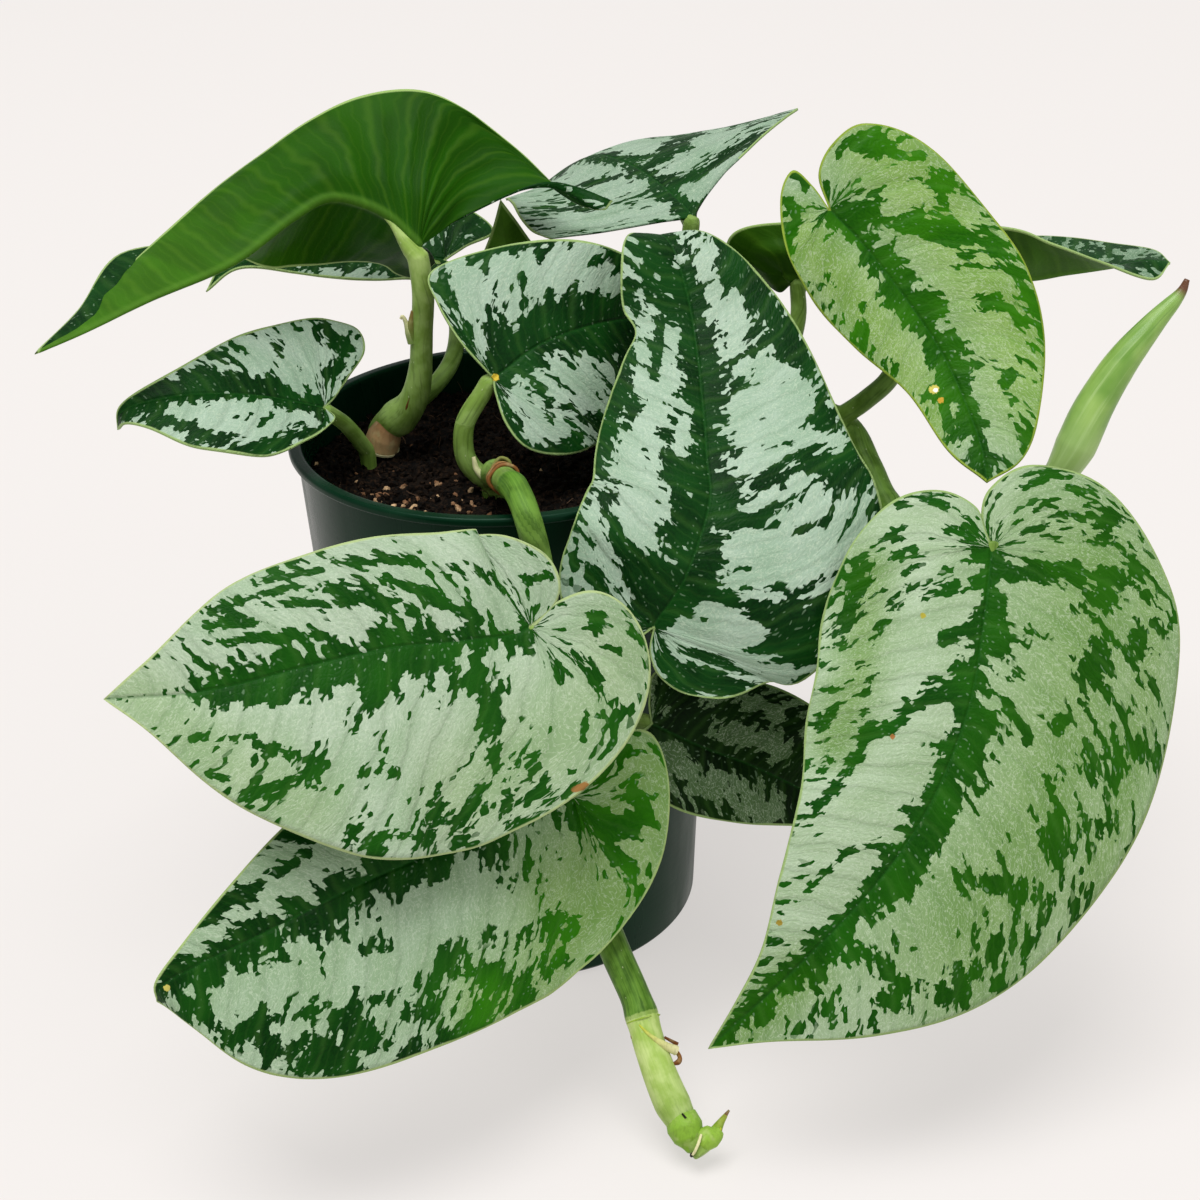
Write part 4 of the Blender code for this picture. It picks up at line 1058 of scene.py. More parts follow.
def write_attribute(mesh, name, values, kind="FLOAT"):
    """A value at each point of the mesh, for its paint to read."""
    field = {"FLOAT": "value", "FLOAT_VECTOR": "vector", "FLOAT_COLOR": "color"}[kind]
    mesh.attributes.new(name, kind, "POINT").data.foreach_set(field, values.astype(np.float32).ravel())


def thicken(piece, thickness, inner_material=0):
    """Turns a sheet into a solid, half of its thickness on each side."""
    solid = piece.modifiers.new("thickness", "SOLIDIFY")
    solid.thickness = thickness * MM
    solid.offset = 0
    solid.material_offset = inner_material
    settle(piece)


def make_blade(name, halves, look, paints):
    """One blade: both halves, quilted between the veins, with thickness, a ridge and its paint."""
    length = halves[0][1][..., 0].max()
    points, flats, veins, edges, faces = [], [], [], [], []
    for side, (grid, plan, stations, from_margin) in enumerate(halves):
        faces += grid_faces(*grid.shape[:2], sum(len(part) for part in points), turned_over=not side)
        normal = np.cross(np.gradient(grid, axis=1), np.gradient(grid, axis=0)) * (1 if side else -1)
        normal = normal / np.maximum(np.linalg.norm(normal, axis=-1, keepdims=True), 1e-6)
        reach = run_along(plan)
        quilt = np.abs(np.sin(math.pi * stations / VEIN_SPACING))[:, None] ** QUILT_SHARPNESS
        puff = 1.0
        for away, fade in zip((reach, from_margin, length - plan[..., 0]), QUILT_FADES):
            puff = puff * np.clip(away / fade, 0, 1)
        grid = grid + normal * (look["quilt"] * quilt * puff)[..., None]
        points.append(grid.reshape(-1, 3))
        flats.append((plan * (1, -1 if side else 1)).reshape(-1, 2))
        station = stations[:, None] + SIDE_SHIFT * side + 0 * reach
        veins.append(np.stack([reach, station], -1).reshape(-1, 2))
        edges.append(from_margin.ravel())
    points, flats, veins, edges = [np.concatenate(part) for part in (points, flats, veins, edges)]
    mesh = bpy.data.meshes.new(name)
    mesh.from_pydata((points * MM).tolist(), [], faces)
    corner = np.empty(len(mesh.loops), int)
    mesh.loops.foreach_get("vertex_index", corner)
    mesh.uv_layers.new(name="veins").data.foreach_set("uv", (veins[corner] * VEIN_UV).ravel())
    along, across = flats.T
    rib_distance = np.where(along >= 0, np.abs(across), np.hypot(along, across) + 2)
    band = np.interp(along / length, np.linspace(0, 1, len(look["band"])), look["band"])
    dark_rib = np.exp(-((rib_distance / np.maximum(band, 0.3)) ** 2))
    marks = strokes(flats, look["silver"]) - strokes(flats, look["green"]) - dark_rib
    write_attribute(mesh, "bias", MARK_STRENGTH * marks)
    # Young strokes; on the hanging blade they also mark the half that gets painted shade.
    write_attribute(mesh, "young", strokes(flats, look["young"]))
    write_attribute(mesh, "edge", edges)
    write_attribute(mesh, "rib", rib_distance)
    write_attribute(mesh, "along", along / length)
    write_attribute(mesh, "flat", np.concatenate([flats, np.zeros((len(flats), 1))], 1), "FLOAT_VECTOR")
    sheet = bmesh.new()
    sheet.from_mesh(mesh)
    bmesh.ops.remove_doubles(sheet, verts=sheet.verts, dist=SHEET_WELD)
    bmesh.ops.dissolve_degenerate(sheet, edges=sheet.edges, dist=SHEET_WELD)
    sheet.to_mesh(mesh)
    sheet.free()
    for paint in paints:
        mesh.materials.append(paint)
    blade = new_piece(name, mesh)
    thicken(blade, BLADE_THICKNESS, inner_material=1)
    raise_midrib(blade.data)
    blade.data.shade_smooth()
    return blade


def raise_midrib(mesh):
    """Lifts the underside's midrib into a rounded ridge, high at the stalk and fading to the tip."""
    place = read_numbers(mesh.vertices, "co", 3)
    normal = read_numbers(mesh.vertex_normals, "vector", 3)
    rib, along, edge = [
        read_numbers(mesh.attributes[key].data, "value", kind=np.float32)[:, 0]
        for key in ("rib", "along", "edge")
    ]
    under = np.zeros(len(mesh.vertices), bool)
    for face in mesh.polygons:
        if face.material_index == 1:
            under[list(face.vertices)] = True
    rise = RIDGE_HEIGHT * np.clip(1 - along, 0, 1) * np.exp(-((rib / RIDGE_WIDTH) ** 2))
    ridge = np.where(under & (along > -0.02) & (edge > 0.4), rise, 0)
    mesh.vertices.foreach_set("co", (place + normal * (ridge * MM)[:, None]).ravel())
    mesh.update()


def srgb(red, green, blue):
    """A linear colour from its 0 to 255 screen values."""
    shares = [value / 255 for value in (red, green, blue)]
    return (*[v / 12.92 if v < 10 / 255 else ((v + 0.055) / 1.055) ** 2.4 for v in shares], 1)


def satin_markings():
    """Where the silver lies: clouds along the veins, snapped to small cells so that borders are ragged."""
    tree, given, out = new_group(
        "satin_markings", {"Veins": "Vector", "Bias": "Float", "Cover": "Float", "Seed": "Float"},
        {"Silver": "Float", "Specks": "Float"},
    )
    seed = add_node(tree, "ShaderNodeCombineXYZ", {"Z": given["Seed"]}).outputs[0]
    place = shift(tree, given["Veins"], seed)
    wobble = shift(tree, cloud(tree, place, 0.33, 1)["Color"], (-0.5, -0.5, -0.5))
    place = shift(tree, place, stretch(tree, wobble, (3.4, 2.2, 0)))
    inputs = {"Vector": stretch(tree, place, (1 / 1.5, 1 / 0.95, 1)), "Scale": 1.0}
    cells = add_node(tree, "ShaderNodeTexVoronoi", inputs, voronoi_dimensions="2D")
    snapped = shift(tree, stretch(tree, cells.outputs["Position"], (1.5, 0.95, 1)), seed)
    total = calc(tree, "ADD", given["Bias"], given["Cover"])
    for scale, weight in (((0.05, 0.11, 1), 0.7), ((0.15, 0.45, 1), 1.15), ((0.12, 0.95, 1), 0.5)):
        value = cloud(tree, stretch(tree, snapped, scale), 1, 1)["Fac"]
        total = calc(tree, "ADD", total, calc(tree, "MULTIPLY", calc(tree, "SUBTRACT", value, 0.5), weight))
    wire(tree, out["Silver"], ramp(tree, total, -0.012, 0.012))
    specks = dots(tree, stretch(tree, place, (0.8, 1.0, 1)), 0.9, (0.26, 0.13), (0.78, 0.8), "2D")
    wire(tree, out["Specks"], specks)
    return tree


def blade_skin():
    """The skin's relief in millimetres, of small cells and side veins, and where fine creases run."""
    kept = {"Height": "Float", "Crinkle": "Float", "Grain": "Float", "Side Veins": "Float"}
    tree, given, out = new_group("blade_skin", {"Veins": "Vector"}, kept)
    wobble = cloud(tree, given["Veins"], 0.12, 2)["Color"]
    place = shift(tree, given["Veins"], stretch(tree, wobble, (5, 5, 0)))
    inputs = {"Vector": stretch(tree, place, (0.62, 0.85, 1)), "Scale": 1.0}
    flat_edges = {"voronoi_dimensions": "2D", "feature": "DISTANCE_TO_EDGE"}
    cells = add_node(tree, "ShaderNodeTexVoronoi", inputs, **flat_edges)
    pillow = ramp(tree, cells.outputs["Distance"], 0.0, 0.32)
    vein = add_node(tree, "ShaderNodeSeparateXYZ", {0: place}).outputs[1]
    grooves = []
    for spacing, width in ((VEIN_SPACING, 1.3), (VEIN_SPACING / 3, 0.5)):
        turn = calc(tree, "FRACT", calc(tree, "DIVIDE", vein, spacing))
        away = calc(tree, "MULTIPLY", calc(tree, "ABSOLUTE", calc(tree, "SUBTRACT", turn, 0.5)), spacing)
        grooves.append(ramp(tree, away, width, 0.05))
    fine = cloud(tree, place, 2.6, 2)["Fac"]
    height = weighted(tree, (pillow, 0.05), (grooves[0], -0.12), (grooves[1], -0.04), (fine, 0.05))
    wire(tree, out["Height"], height)
    scratch = cloud(tree, stretch(tree, place, (0.75, 1.1, 1)), 1, 2)["Fac"]
    scratch = calc(tree, "ABSOLUTE", calc(tree, "SUBTRACT", scratch, 0.5))
    wire(tree, out["Crinkle"], ramp(tree, scratch, 0.035, 0.005))
    grain = cloud(tree, stretch(tree, place, (1.1, 1.4, 1)), 1, 4, 0.7)["Fac"]
    wire(tree, out["Grain"], ramp(tree, grain, 0.36, 0.64))
    lesser = calc(tree, "MULTIPLY", grooves[1], 0.4)
    wire(tree, out["Side Veins"], calc(tree, "MAXIMUM", grooves[0], lesser))
    return tree


MARKINGS = satin_markings()
SKIN = blade_skin()


def vein_place(tree):
    """The blade's own millimetre place: along the side vein, and across the veins."""
    uv = add_node(tree, "ShaderNodeUVMap", uv_map="veins").outputs[0]
    return stretch(tree, uv, (1 / VEIN_UV, 1 / VEIN_UV, 0))


def upper_paint(name, look):
    """The upper face's leathery green and its silver."""
    material, tree, shader = new_material(f"{name}_upper")
    place = vein_place(tree)
    bias = read_attribute(tree, "bias")
    inputs = {"Veins": place, "Bias": bias, "Cover": look["cover"], "Seed": look["seed"]}
    marks = add_node(tree, "ShaderNodeGroup", inputs, node_tree=MARKINGS).outputs
    skin = add_node(tree, "ShaderNodeGroup", {"Veins": place}, node_tree=SKIN).outputs
    silver = marks["Silver"]
    young = read_attribute(tree, "young")
    rib = read_attribute(tree, "rib")
    drift = ramp(tree, cloud(tree, stretch(tree, place, (0.05, 0.08, 1)), 1, 3)["Fac"], 0.35, 0.65)
    # Under the young strokes each colour moves to its young one: a younger green, and on the hanging blade
    # also a darker film that is painted shade.
    ground, lighter, film, deeper = [
        mix_colour(tree, young, srgb(*look[old]), srgb(*look[young_and_shade_key]))
        for old, young_and_shade_key in (("ground", "young_ground"), ("ground_light", "young_light"),
                           ("film", "young_and_shaded_film"), ("film_deep", "young_and_shaded_film_deep"))
    ]
    ground = tinge(tree, drift, 0.8, ground, lighter)
    ground = tinge(tree, skin["Grain"], 0.3, ground, lighter)
    ground = tinge(tree, marks["Specks"], 0.3, ground, srgb(140, 170, 136))
    ground = tinge(tree, skin["Side Veins"], 0.1, ground, srgb(90, 140, 60))
    film = tinge(tree, drift, 0.7, film, deeper)
    film = tinge(tree, skin["Grain"], 0.45, film, deeper)
    film = tinge(tree, skin["Crinkle"], 0.35, film, srgb(206, 218, 192))
    film = tinge(tree, skin["Side Veins"], 0.12, film, lighter)
    colour = mix_colour(tree, silver, ground, film)
    colour = tinge(tree, ramp(tree, rib, 0.55, 0.15), 0.35, colour, srgb(*look["rib"]))
    edge = calc(tree, "ADD", read_attribute(tree, "edge"), calc(tree, "MULTIPLY", drift, 0.25))
    colour = mix_colour(tree, ramp(tree, edge, 0.75, 0.35), colour, srgb(*look["margin"]))
    for x, y, reach, blemish in look["blemishes"]:
        colour = mix_colour(tree, spot_mask(tree, x, y, reach), colour, srgb(*blemish))
    roughness = calc(tree, "ADD", 0.42, calc(tree, "MULTIPLY", silver, 0.12))
    height = weighted(tree, (skin["Height"], 1.0), (silver, 0.02), (ramp(tree, rib, 0.9, 0.1), -0.25))
    finish_paint(tree, shader, colour, roughness, 0.05, height, 0.8)
    return material


def spot_mask(tree, x, y, reach):
    """A small ragged spot at a flat place (along, across) of the blade."""
    flat = read_attribute(tree, "flat", "Vector")
    at = shift(tree, flat, stretch(tree, cloud(tree, flat, 1.6, 2)["Color"], (reach, reach, 0)))
    inputs = {0: at, 1: (x + reach / 2, y + reach / 2, 0)}
    away = add_node(tree, "ShaderNodeVectorMath", inputs, operation="DISTANCE").outputs["Value"]
    return ramp(tree, away, reach, reach * 0.75)


def lower_paint(name, look):
    """The plain underside: soft green with lighter side veins and a pale midrib."""
    material, tree, shader = new_material(f"{name}_under")
    place = vein_place(tree)
    skin = add_node(tree, "ShaderNodeGroup", {"Veins": place}, node_tree=SKIN).outputs
    drift = ramp(tree, cloud(tree, stretch(tree, place, (0.04, 0.12, 1)), 1, 3)["Fac"], 0.35, 0.65)
    near, far = look["under"]
    base = mix_colour(tree, ramp(tree, read_attribute(tree, "along"), 0.1, 0.8), srgb(*near), srgb(*far))
    base = tinge(tree, drift, 0.7, base, mix_colour(tree, 0.45, base, srgb(16, 34, 6)))
    base = tinge(tree, skin["Side Veins"], 0.08, base, srgb(120, 164, 50))
    base = tinge(tree, ramp(tree, read_attribute(tree, "rib"), 2.2, 0.6), 0.4, base, srgb(84, 126, 40))
    base = mix_colour(tree, ramp(tree, read_attribute(tree, "edge"), 0.9, 0.4), base, srgb(150, 178, 104))
    finish_paint(tree, shader, base, 0.48, 0.04, calc(tree, "MULTIPLY", skin["Height"], -0.5), 0.7)
    return material


# How each blade is marked, in flat millimetres from its stalk: along the midrib, and across, which is above
# zero left of it. green, silver: soft strokes that draw the marking one way, as (along, across, to along,
# to across, half width). young: such strokes where the blade is still young and bright; on the hanging
# blade they also cover one half, whose darker colours there are painted shade.
# band: half widths of the dark zone along the midrib. cover: how much more silver there is overall.
# quilt: how far the skin bulges between the side veins. blemishes: small spots, as (along, across, reach,
# colour). film and film_deep are the silver's two colours, ground and ground_light the green's, and the
# young ones take their place under the young strokes. under is the underside's colour at the stalk and at
# the tip; on the arched blade the stalk's darker colour is partly painted shade.
MATURE = {
    "ground": (6, 36, 9), "ground_light": (18, 66, 18), "film": (168, 188, 168),
    "film_deep": (138, 166, 138), "young_ground": (24, 84, 2), "young_light": (50, 116, 8),
    "young_and_shaded_film": (136, 168, 104), "young_and_shaded_film_deep": (112, 146, 80),
    "under": ((66, 108, 22), (88, 128, 52)), "margin": (150, 176, 110), "rib": (26, 78, 24),
    "green": [], "silver": [], "young": [], "blemishes": [], "quilt": 0.35,
}
LOOKS = {
    "leaf_arched_left": {
        "seed": 11, "cover": -0.2, "band": (6, 8, 6, 4, 2), "quilt": 0.55,
        "silver": [(-30, 14, -50, 24, 7), (-30, -14, -50, -24, 7)],
        "green": [(60, 25, 150, 10, 14), (60, -25, 150, -10, 14)],
        # Its underside is much darker at the stalk than at the tip: partly a deeper green, partly painted
        # shade inside the arch.
        "under": ((27, 74, 0), (60, 108, 20)),
    },
    "leaf_small_left": {
        "seed": 23, "cover": 0.0, "band": (2, 4, 5, 4, 2),
        "silver": [
            (8, 6, 18, 12, 2.5), (16, 4, 30, 5, 3), (22, 12, 30, 10, 2), (28, 8, 38, 4, 2),
            (4, -8, 0, -16, 2), (10, -8, 6, -16, 3), (18, -8, 14, -14, 2.5),
        ],
        "green": [
            (6, 10, 14, 14, 0.8), (14, 14, 26, 19, 1.5), (30, 16, 40, 8, 1.2), (-8, -18, -4, -22, 2),
            (-2, -10, -8, -14, 1),
        ],
    },
    "leaf_back_centre": {
        "seed": 31, "cover": 0.06, "band": (3, 4, 4, 3, 2), "film": (150, 170, 150),
        "film_deep": (124, 152, 124),
        "silver": [
            (10, 8, 14, 22, 3), (24, 8, 32, 18, 3), (40, 7, 48, 14, 3), (8, -8, 10, -26, 3),
            (22, -9, 28, -24, 3), (38, -8, 46, -16, 3),
        ],
        "green": [
            (18, 8, 22, 24, 1.4), (33, 8, 39, 16, 1.4), (14, -8, 18, -30, 2.4), (30, -8, 36, -24, 2.4),
        ],
    },
    "leaf_inner": {
        "seed": 47, "cover": -0.08, "band": (2, 6, 9, 8, 4),
        "silver": [
            (2, 6, 4, 12, 1), (5, 16, 9, 22, 3), (8, 14, 12, 18, 2), (13, 10, 17, 22, 3),
            (20, 13, 22, 20, 1.5), (26, 15, 34, 19, 3.5), (32, 14, 38, 9, 2.5), (20, 22, 26, 22, 1),
            (2, -8, 4, -12, 2.5), (8, -8, 14, -22, 4), (18, -7, 22, -16, 5), (26, -8, 30, -12, 3),
            (1, -16, 6, -22, 2.5),
        ],
        "green": [
            (14, 27, 24, 23, 2.5), (6, 26, 2, 12, 1), (-4, -10, -4, -18, 1), (10, -16, 12, -17, 1),
            (14, -22, 22, -22, 1.5), (8, -22, 2, -26, 1.5),
        ],
        "blemishes": [(0.6, 0, 1.1, (204, 176, 56))],
    },
    "leaf_tall_centre": {
        "seed": 53, "cover": -0.03, "band": (3, 7, 8, 8, 6, 5, 5, 4),
        "silver": [
            (20, 16, 36, 19, 4.5), (36, 17, 56, 15, 4), (56, 10, 68, 8, 3), (6, 14, 10, 20, 1.5),
            (10, 18, 18, 25, 1), (16, 24, 34, 26, 1), (46, 6, 60, 5, 2), (74, 8, 84, 5, 2),
            (84, 12, 96, 10, 1.5), (64, 14, 78, 14, 1.2), (76, 18, 84, 16, 1), (24, -7, 26, -26, 4.5),
            (33, -9, 37, -26, 3), (3, -6, 5, -30, 3.5), (10, -8, 11, -20, 2), (42, -6, 46, -17, 4),
            (50, -8, 54, -20, 5), (60, -10, 64, -21, 5), (72, -12, 70, -18, 3), (86, -7, 100, -5, 2.5),
            (76, -6, 80, -5, 1.5), (80, -10, 92, -11, 1.2), (50, -24, 52, -31, 3), (60, -26, 66, -24, 1.5),
            (-5, -26, 0, -32, 2), (102, 0, 118, -8, 1.5),
        ],
        "green": [
            (9, 9, 20, 22, 2.2), (20, 22, 30, 26, 1.2), (27, 7, 45, 9, 1.2), (44, 14, 46, 15, 0.8),
            (44, 24, 60, 22, 2), (52, 19, 60, 16, 1.2), (60, 21, 78, 17, 2), (68, 11, 88, 8, 1),
            (90, 11, 104, 8, 1), (13, -4, 16, -30, 1.2), (9, -22, 12, -34, 1.5), (29, -6, 40, -32, 1.4),
            (37, -10, 48, -26, 1.2), (42, -30, 50, -36, 4), (55, -28, 74, -26, 1.5),
            (74, -24, 104, -12, 2.5), (70, -13, 76, -13, 1), (-1, -13, -1, -19, 2), (-8, -22, -9, -10, 2),
            (54, 27, 84, 18, 1.5),
        ],
    },
    "leaf_upper_right": {
        "seed": 67, "cover": 0.02, "band": (2, 4, 4, 3, 3, 2),
        "silver": [
            (-4, 12, 2, 14, 2), (4, 16, 8, 22, 2), (9, 10, 11, 14, 2), (18, 24, 22, 26, 1.5),
            (20, 8, 24, 12, 2.5), (28, 10, 34, 14, 3), (36, 18, 38, 22, 2), (40, 8, 52, 14, 3),
            (56, 6, 70, 5, 2.5), (50, 18, 56, 16, 1), (2, -8, 4, -12, 2.5), (9, -6, 20, -8, 3.5),
            (16, -13, 26, -11, 1.5), (30, -8, 48, -8, 2.5), (56, -8, 64, -9, 1),
        ],
        "green": [
            (0, 22, -8, 16, 1), (12, 26, 16, 22, 1.5), (14, 12, 26, 20, 2), (30, 24, 46, 26, 1.5),
            (39, 22, 40, 14, 1.5), (54, 16, 58, 10, 1.5), (6, 4, 8, 8, 2), (36, 6, 44, 5, 1.5),
            (-8, -6, -4, -7, 1), (12, -11, 14, -12, 1), (24, -10, 32, -15, 1.2), (40, -11, 43, -12, 0.8),
            (52, -5, 64, -6, 1),
        ],
        "young": [(0, 20, 60, 18, 20), (0, -10, 60, -10, 12)],
        "young_ground": (22, 82, 0), "young_light": (52, 118, 4), "young_and_shaded_film": (140, 170, 98),
        "young_and_shaded_film_deep": (104, 142, 58), "margin": (140, 164, 60),
        "blemishes": [
            (52.6, -5.8, 1.4, (200, 190, 90)), (53, -5.6, 0.7, (240, 240, 230)),
            (56, -5.4, 0.9, (190, 150, 50)),
        ],
    },
    "leaf_hanging_right": {
        "seed": 71, "cover": 0.1, "band": (3, 3, 4, 4, 4, 4, 4, 3, 1),
        "silver": [
            (20, -13, 34, -20, 5), (46, -8, 74, -14, 5), (84, -5, 100, -8, 3), (62, 8, 70, 10, 1.5),
            (-8, -8, -4, -18, 2), (16, 18, 30, 14, 4), (46, 16, 60, 14, 4), (80, 14, 90, 20, 4),
        ],
        "green": [
            (-12, 28, -6, 24, 2.2), (-17, 17, -15, 22, 1.2), (0, 34, 5, 28, 2.2), (3, 20, 5, 14, 1.8),
            (7, 28, 12, 20, 1.8), (4, 12, 6, 2, 1.8), (12, 41, 18, 34, 2), (19, 27, 27, 25, 2.3),
            (25, 42, 27, 44, 1.2), (36, 43, 38, 33, 1.3), (42, 38, 42, 28, 1), (36, 20, 37, 21, 1.2),
            (50, 42, 51, 35, 1.6), (54, 27, 60, 32, 1.6), (44, 25, 47, 22, 1), (34, 8, 41, 15, 1.1),
            (28, 10, 29, 8, 1), (59, 17, 61, 19, 1.1), (53, 10, 54, 9, 1.2), (67, 34, 68, 26, 1.6),
            (66, 36, 76, 37, 1.4), (68, 24, 72, 14, 1.2), (70, 12, 60, 4, 1.4), (78, 30, 80, 31, 1.4),
            (77, 25, 78, 24, 0.8), (85, 30, 87, 25, 1.2), (92, 28, 97, 14, 1.8), (100, 24, 101, 18, 1.2),
            (96, 12, 98, 8, 1.4), (88, 16, 89, 16, 0.8), (106, 10, 112, 12, 1.3), (-20, 10, -16, 6, 1.1),
            (-8, -14, -6, -10, 1.2), (-4, -7, 2, -4, 1.6), (10, -8, 14, -16, 1.1), (20, -4, 23, -9, 2.2),
            (34, -4, 42, -11, 2.4), (43, -12, 56, -20, 1.4), (56, -20, 80, -21.5, 1.3),
            (76, -5, 82, -12, 1.1), (80, -10, 98, -11, 0.9), (65, -25, 70, -26, 0.8),
            (34, -23, 44, -24, 0.8), (48, -22, 50, -23, 0.7), (8, -29, 30, -32, 1.5), (50, -29, 58, -30, 1),
            (20, -22, 28, -25, 0.9), (12, -18, 10, -20, 1), (4, -18, 3, -20, 0.8), (58, 4, 80, 5, 1.8),
            (40, 3, 50, 4, 2.2), (14, 3, 24, 4, 1.4), (100, 2, 108, 5, 1.4),
        ],
        # The young strokes over the half left of the midrib give it a younger green and a darker film:
        # partly real, partly painted shade.
        "young": [(0, 24, 80, 24, 22), (0, 38, 60, 42, 10), (10, -28, 60, -26, 6), (110, 2, 130, 2, 8)],
        "film": (176, 194, 166), "film_deep": (150, 174, 134), "ground": (10, 58, 8),
        "ground_light": (24, 86, 12), "young_ground": (18, 66, 2), "young_light": (36, 92, 6),
        # These young film colours are much darker than the film above: painted shade on that half.
        "young_and_shaded_film": (130, 158, 102), "young_and_shaded_film_deep": (98, 134, 68),
        "blemishes": [
            (19, -14.5, 0.7, (170, 160, 60)), (51.5, -14.8, 0.7, (160, 110, 60)),
            (105, -10.4, 0.8, (150, 130, 50)),
        ],
    },
    "leaf_front_upper": {
        "seed": 83, "cover": 0.11, "band": (3, 3, 5, 6, 5, 4, 3, 1),
        "silver": [
            (24, 16, 34, 26, 5), (0, 20, 4, 14, 3), (56, 12, 64, 10, 2.5), (46, 22, 60, 34, 4),
            (10, -18, 14, -20, 3), (-10, -12, -4, -16, 3), (82, 0, 92, 0, 6),
        ],
        "green": [
            (32, 5, 46, 14, 2), (30, 4, 40, 6, 2.5), (12, 42, 14, 22, 1.3), (14, 22, 17, 8, 2.4),
            (6, 38, 8, 28, 0.9), (-3, 25, -4, 10, 0.8), (0, 12, 2, 20, 0.7), (-14, 17, -16, 20, 1.2),
            (-11, 8, -9, 12, 1), (18, 34, 22, 40, 1.5), (26, 37, 30, 38, 1.8), (38, 27, 46, 25, 1.8),
            (52, 27, 57, 26, 1.4), (46, 44, 52, 36, 1.2), (30, 43, 46, 40, 1), (21, 9, 23, 13, 1.4),
            (26, 18, 27, 20, 0.8), (52, 22, 70, 24, 0.8), (60, 18, 66, 14, 0.9), (66, 12, 78, 10, 0.9),
            (73, 20, 76, 18, 0.8), (60, 5, 74, 1, 1.8), (46, 12, 48, 16, 1), (15, -6, 30, -14, 1),
            (28, -8, 44, -15, 1.6), (26, -18, 40, -21, 0.9), (42, -12, 60, -16, 0.9), (48, -6, 68, -10, 0.9),
            (60, -12, 72, -14, 0.7), (50, -18, 70, -17, 0.7), (2, -10, 8, -14, 2), (10, -14, 16, -20, 1.1),
            (-12, -5, -8, -8, 1), (-13, -12, -14, -8, 0.8), (44, -20, 58, -21, 0.7),
        ],
        "young": [(-10, 20, 20, 34, 12), (60, 30, 90, 0, 8)],
        "film": (174, 190, 166), "film_deep": (142, 168, 132), "ground": (12, 58, 8),
        "ground_light": (28, 84, 14), "young_ground": (14, 62, 8), "young_light": (32, 88, 16),
        "young_and_shaded_film": (162, 182, 144), "young_and_shaded_film_deep": (130, 158, 112), "margin": (170, 188, 130),
        "blemishes": [(3.5, 37.5, 0.9, (150, 110, 60))],
    },
    "leaf_front_lower": {
        "seed": 97, "cover": 0.08, "band": (1, 1, 2, 4, 5, 6, 6, 5, 2),
        "silver": [
            (45, 12, 52, 20, 4), (60, 20, 68, 16, 4), (76, 10, 90, 10, 3), (56, -7, 75, -8, 2.2),
            (80, -5, 96, -5, 1.6), (24, 20, 32, 14, 4), (6, 24, 10, 14, 3), (68, 37, 72, 36, 1.2),
            (62, 32, 64, 34, 1),
        ],
        "green": [
            (-12, 8, -9, 13, 1.8), (-3, 12, 0, 3, 2), (-2, 22, -1, 15, 0.9), (10, 28, 24, 24, 2.4),
            (28, 40, 34, 31, 2.6), (36, 37, 52, 40, 2), (46, 22, 54, 31, 1.8), (54, 33, 60, 30, 1.5),
            (68, 36, 74, 25, 2), (76, 37, 82, 25, 1.8), (84, 30, 94, 18, 2), (61, 26, 66, 24, 1.2),
            (42, 22, 50, 28, 1.3), (75, 20, 80, 20, 1.1), (58, 15, 62, 14, 1.5), (86, 18, 90, 17, 1.4),
            (36, 32, 44, 26, 1.5), (98, 18, 104, 5, 1.2), (65, -11, 92, -9, 1.1), (52, -16, 66, -18, 2.5),
            (40, 4, 48, 2, 2), (60, 38, 66, 40, 1.4), (80, 7, 76, 10, 1), (14, 34, 20, 36, 1.5),
        ],
        "young": [(-20, 10, 20, 36, 14), (-16, 4, 10, 20, 14), (30, 42, 40, 36, 9)],
        "film": (160, 182, 152), "film_deep": (130, 158, 118), "ground": (6, 40, 7),
        "ground_light": (20, 72, 12), "young_ground": (22, 82, 2), "young_light": (48, 116, 8),
        "young_and_shaded_film": (138, 168, 106), "young_and_shaded_film_deep": (108, 144, 72), "margin": (160, 184, 116),
        "blemishes": [(106, 1, 0.9, (190, 180, 90))],
    },
    # This blade hangs in the others' shade, and its much darker ground and film are painted shade.
    "leaf_shaded": {
        "seed": 101, "cover": -0.02, "band": (2, 3, 3, 2),
        "silver": [
            (6, -4, 12, -6, 2.5), (18, 6, 30, 8, 2), (20, -6, 28, -6, 2.5), (20, 14, 28, 14, 1.5),
            (30, -10, 38, -8, 1.5),
        ],
        "green": [(0, 10, 10, 6, 3), (36, 10, 38, 4, 1.5)],
        "film": (96, 120, 84), "film_deep": (70, 96, 56), "ground": (8, 24, 6), "ground_light": (20, 48, 10),
    },
    "leaf_far_right": {
        "seed": 113, "cover": -0.06, "band": (2, 3, 3, 2),
        "silver": [(12, 6, 30, 12, 3), (40, 6, 60, 10, 3)],
        "film": (120, 146, 122), "film_deep": (92, 122, 88), "under": ((44, 84, 10), (60, 100, 24)),
    },
    "leaf_far_left": {
        "seed": 127, "cover": -0.06, "band": (2, 3, 2),
        "silver": [(24, 10, 34, 14, 5)],
        "under": ((54, 92, 12), (70, 104, 30)),
    },
    "leaf_behind": {
        "seed": 131, "cover": 0.0, "band": (2, 3, 2), "under": ((60, 104, 16), (78, 122, 34)),
    },
}

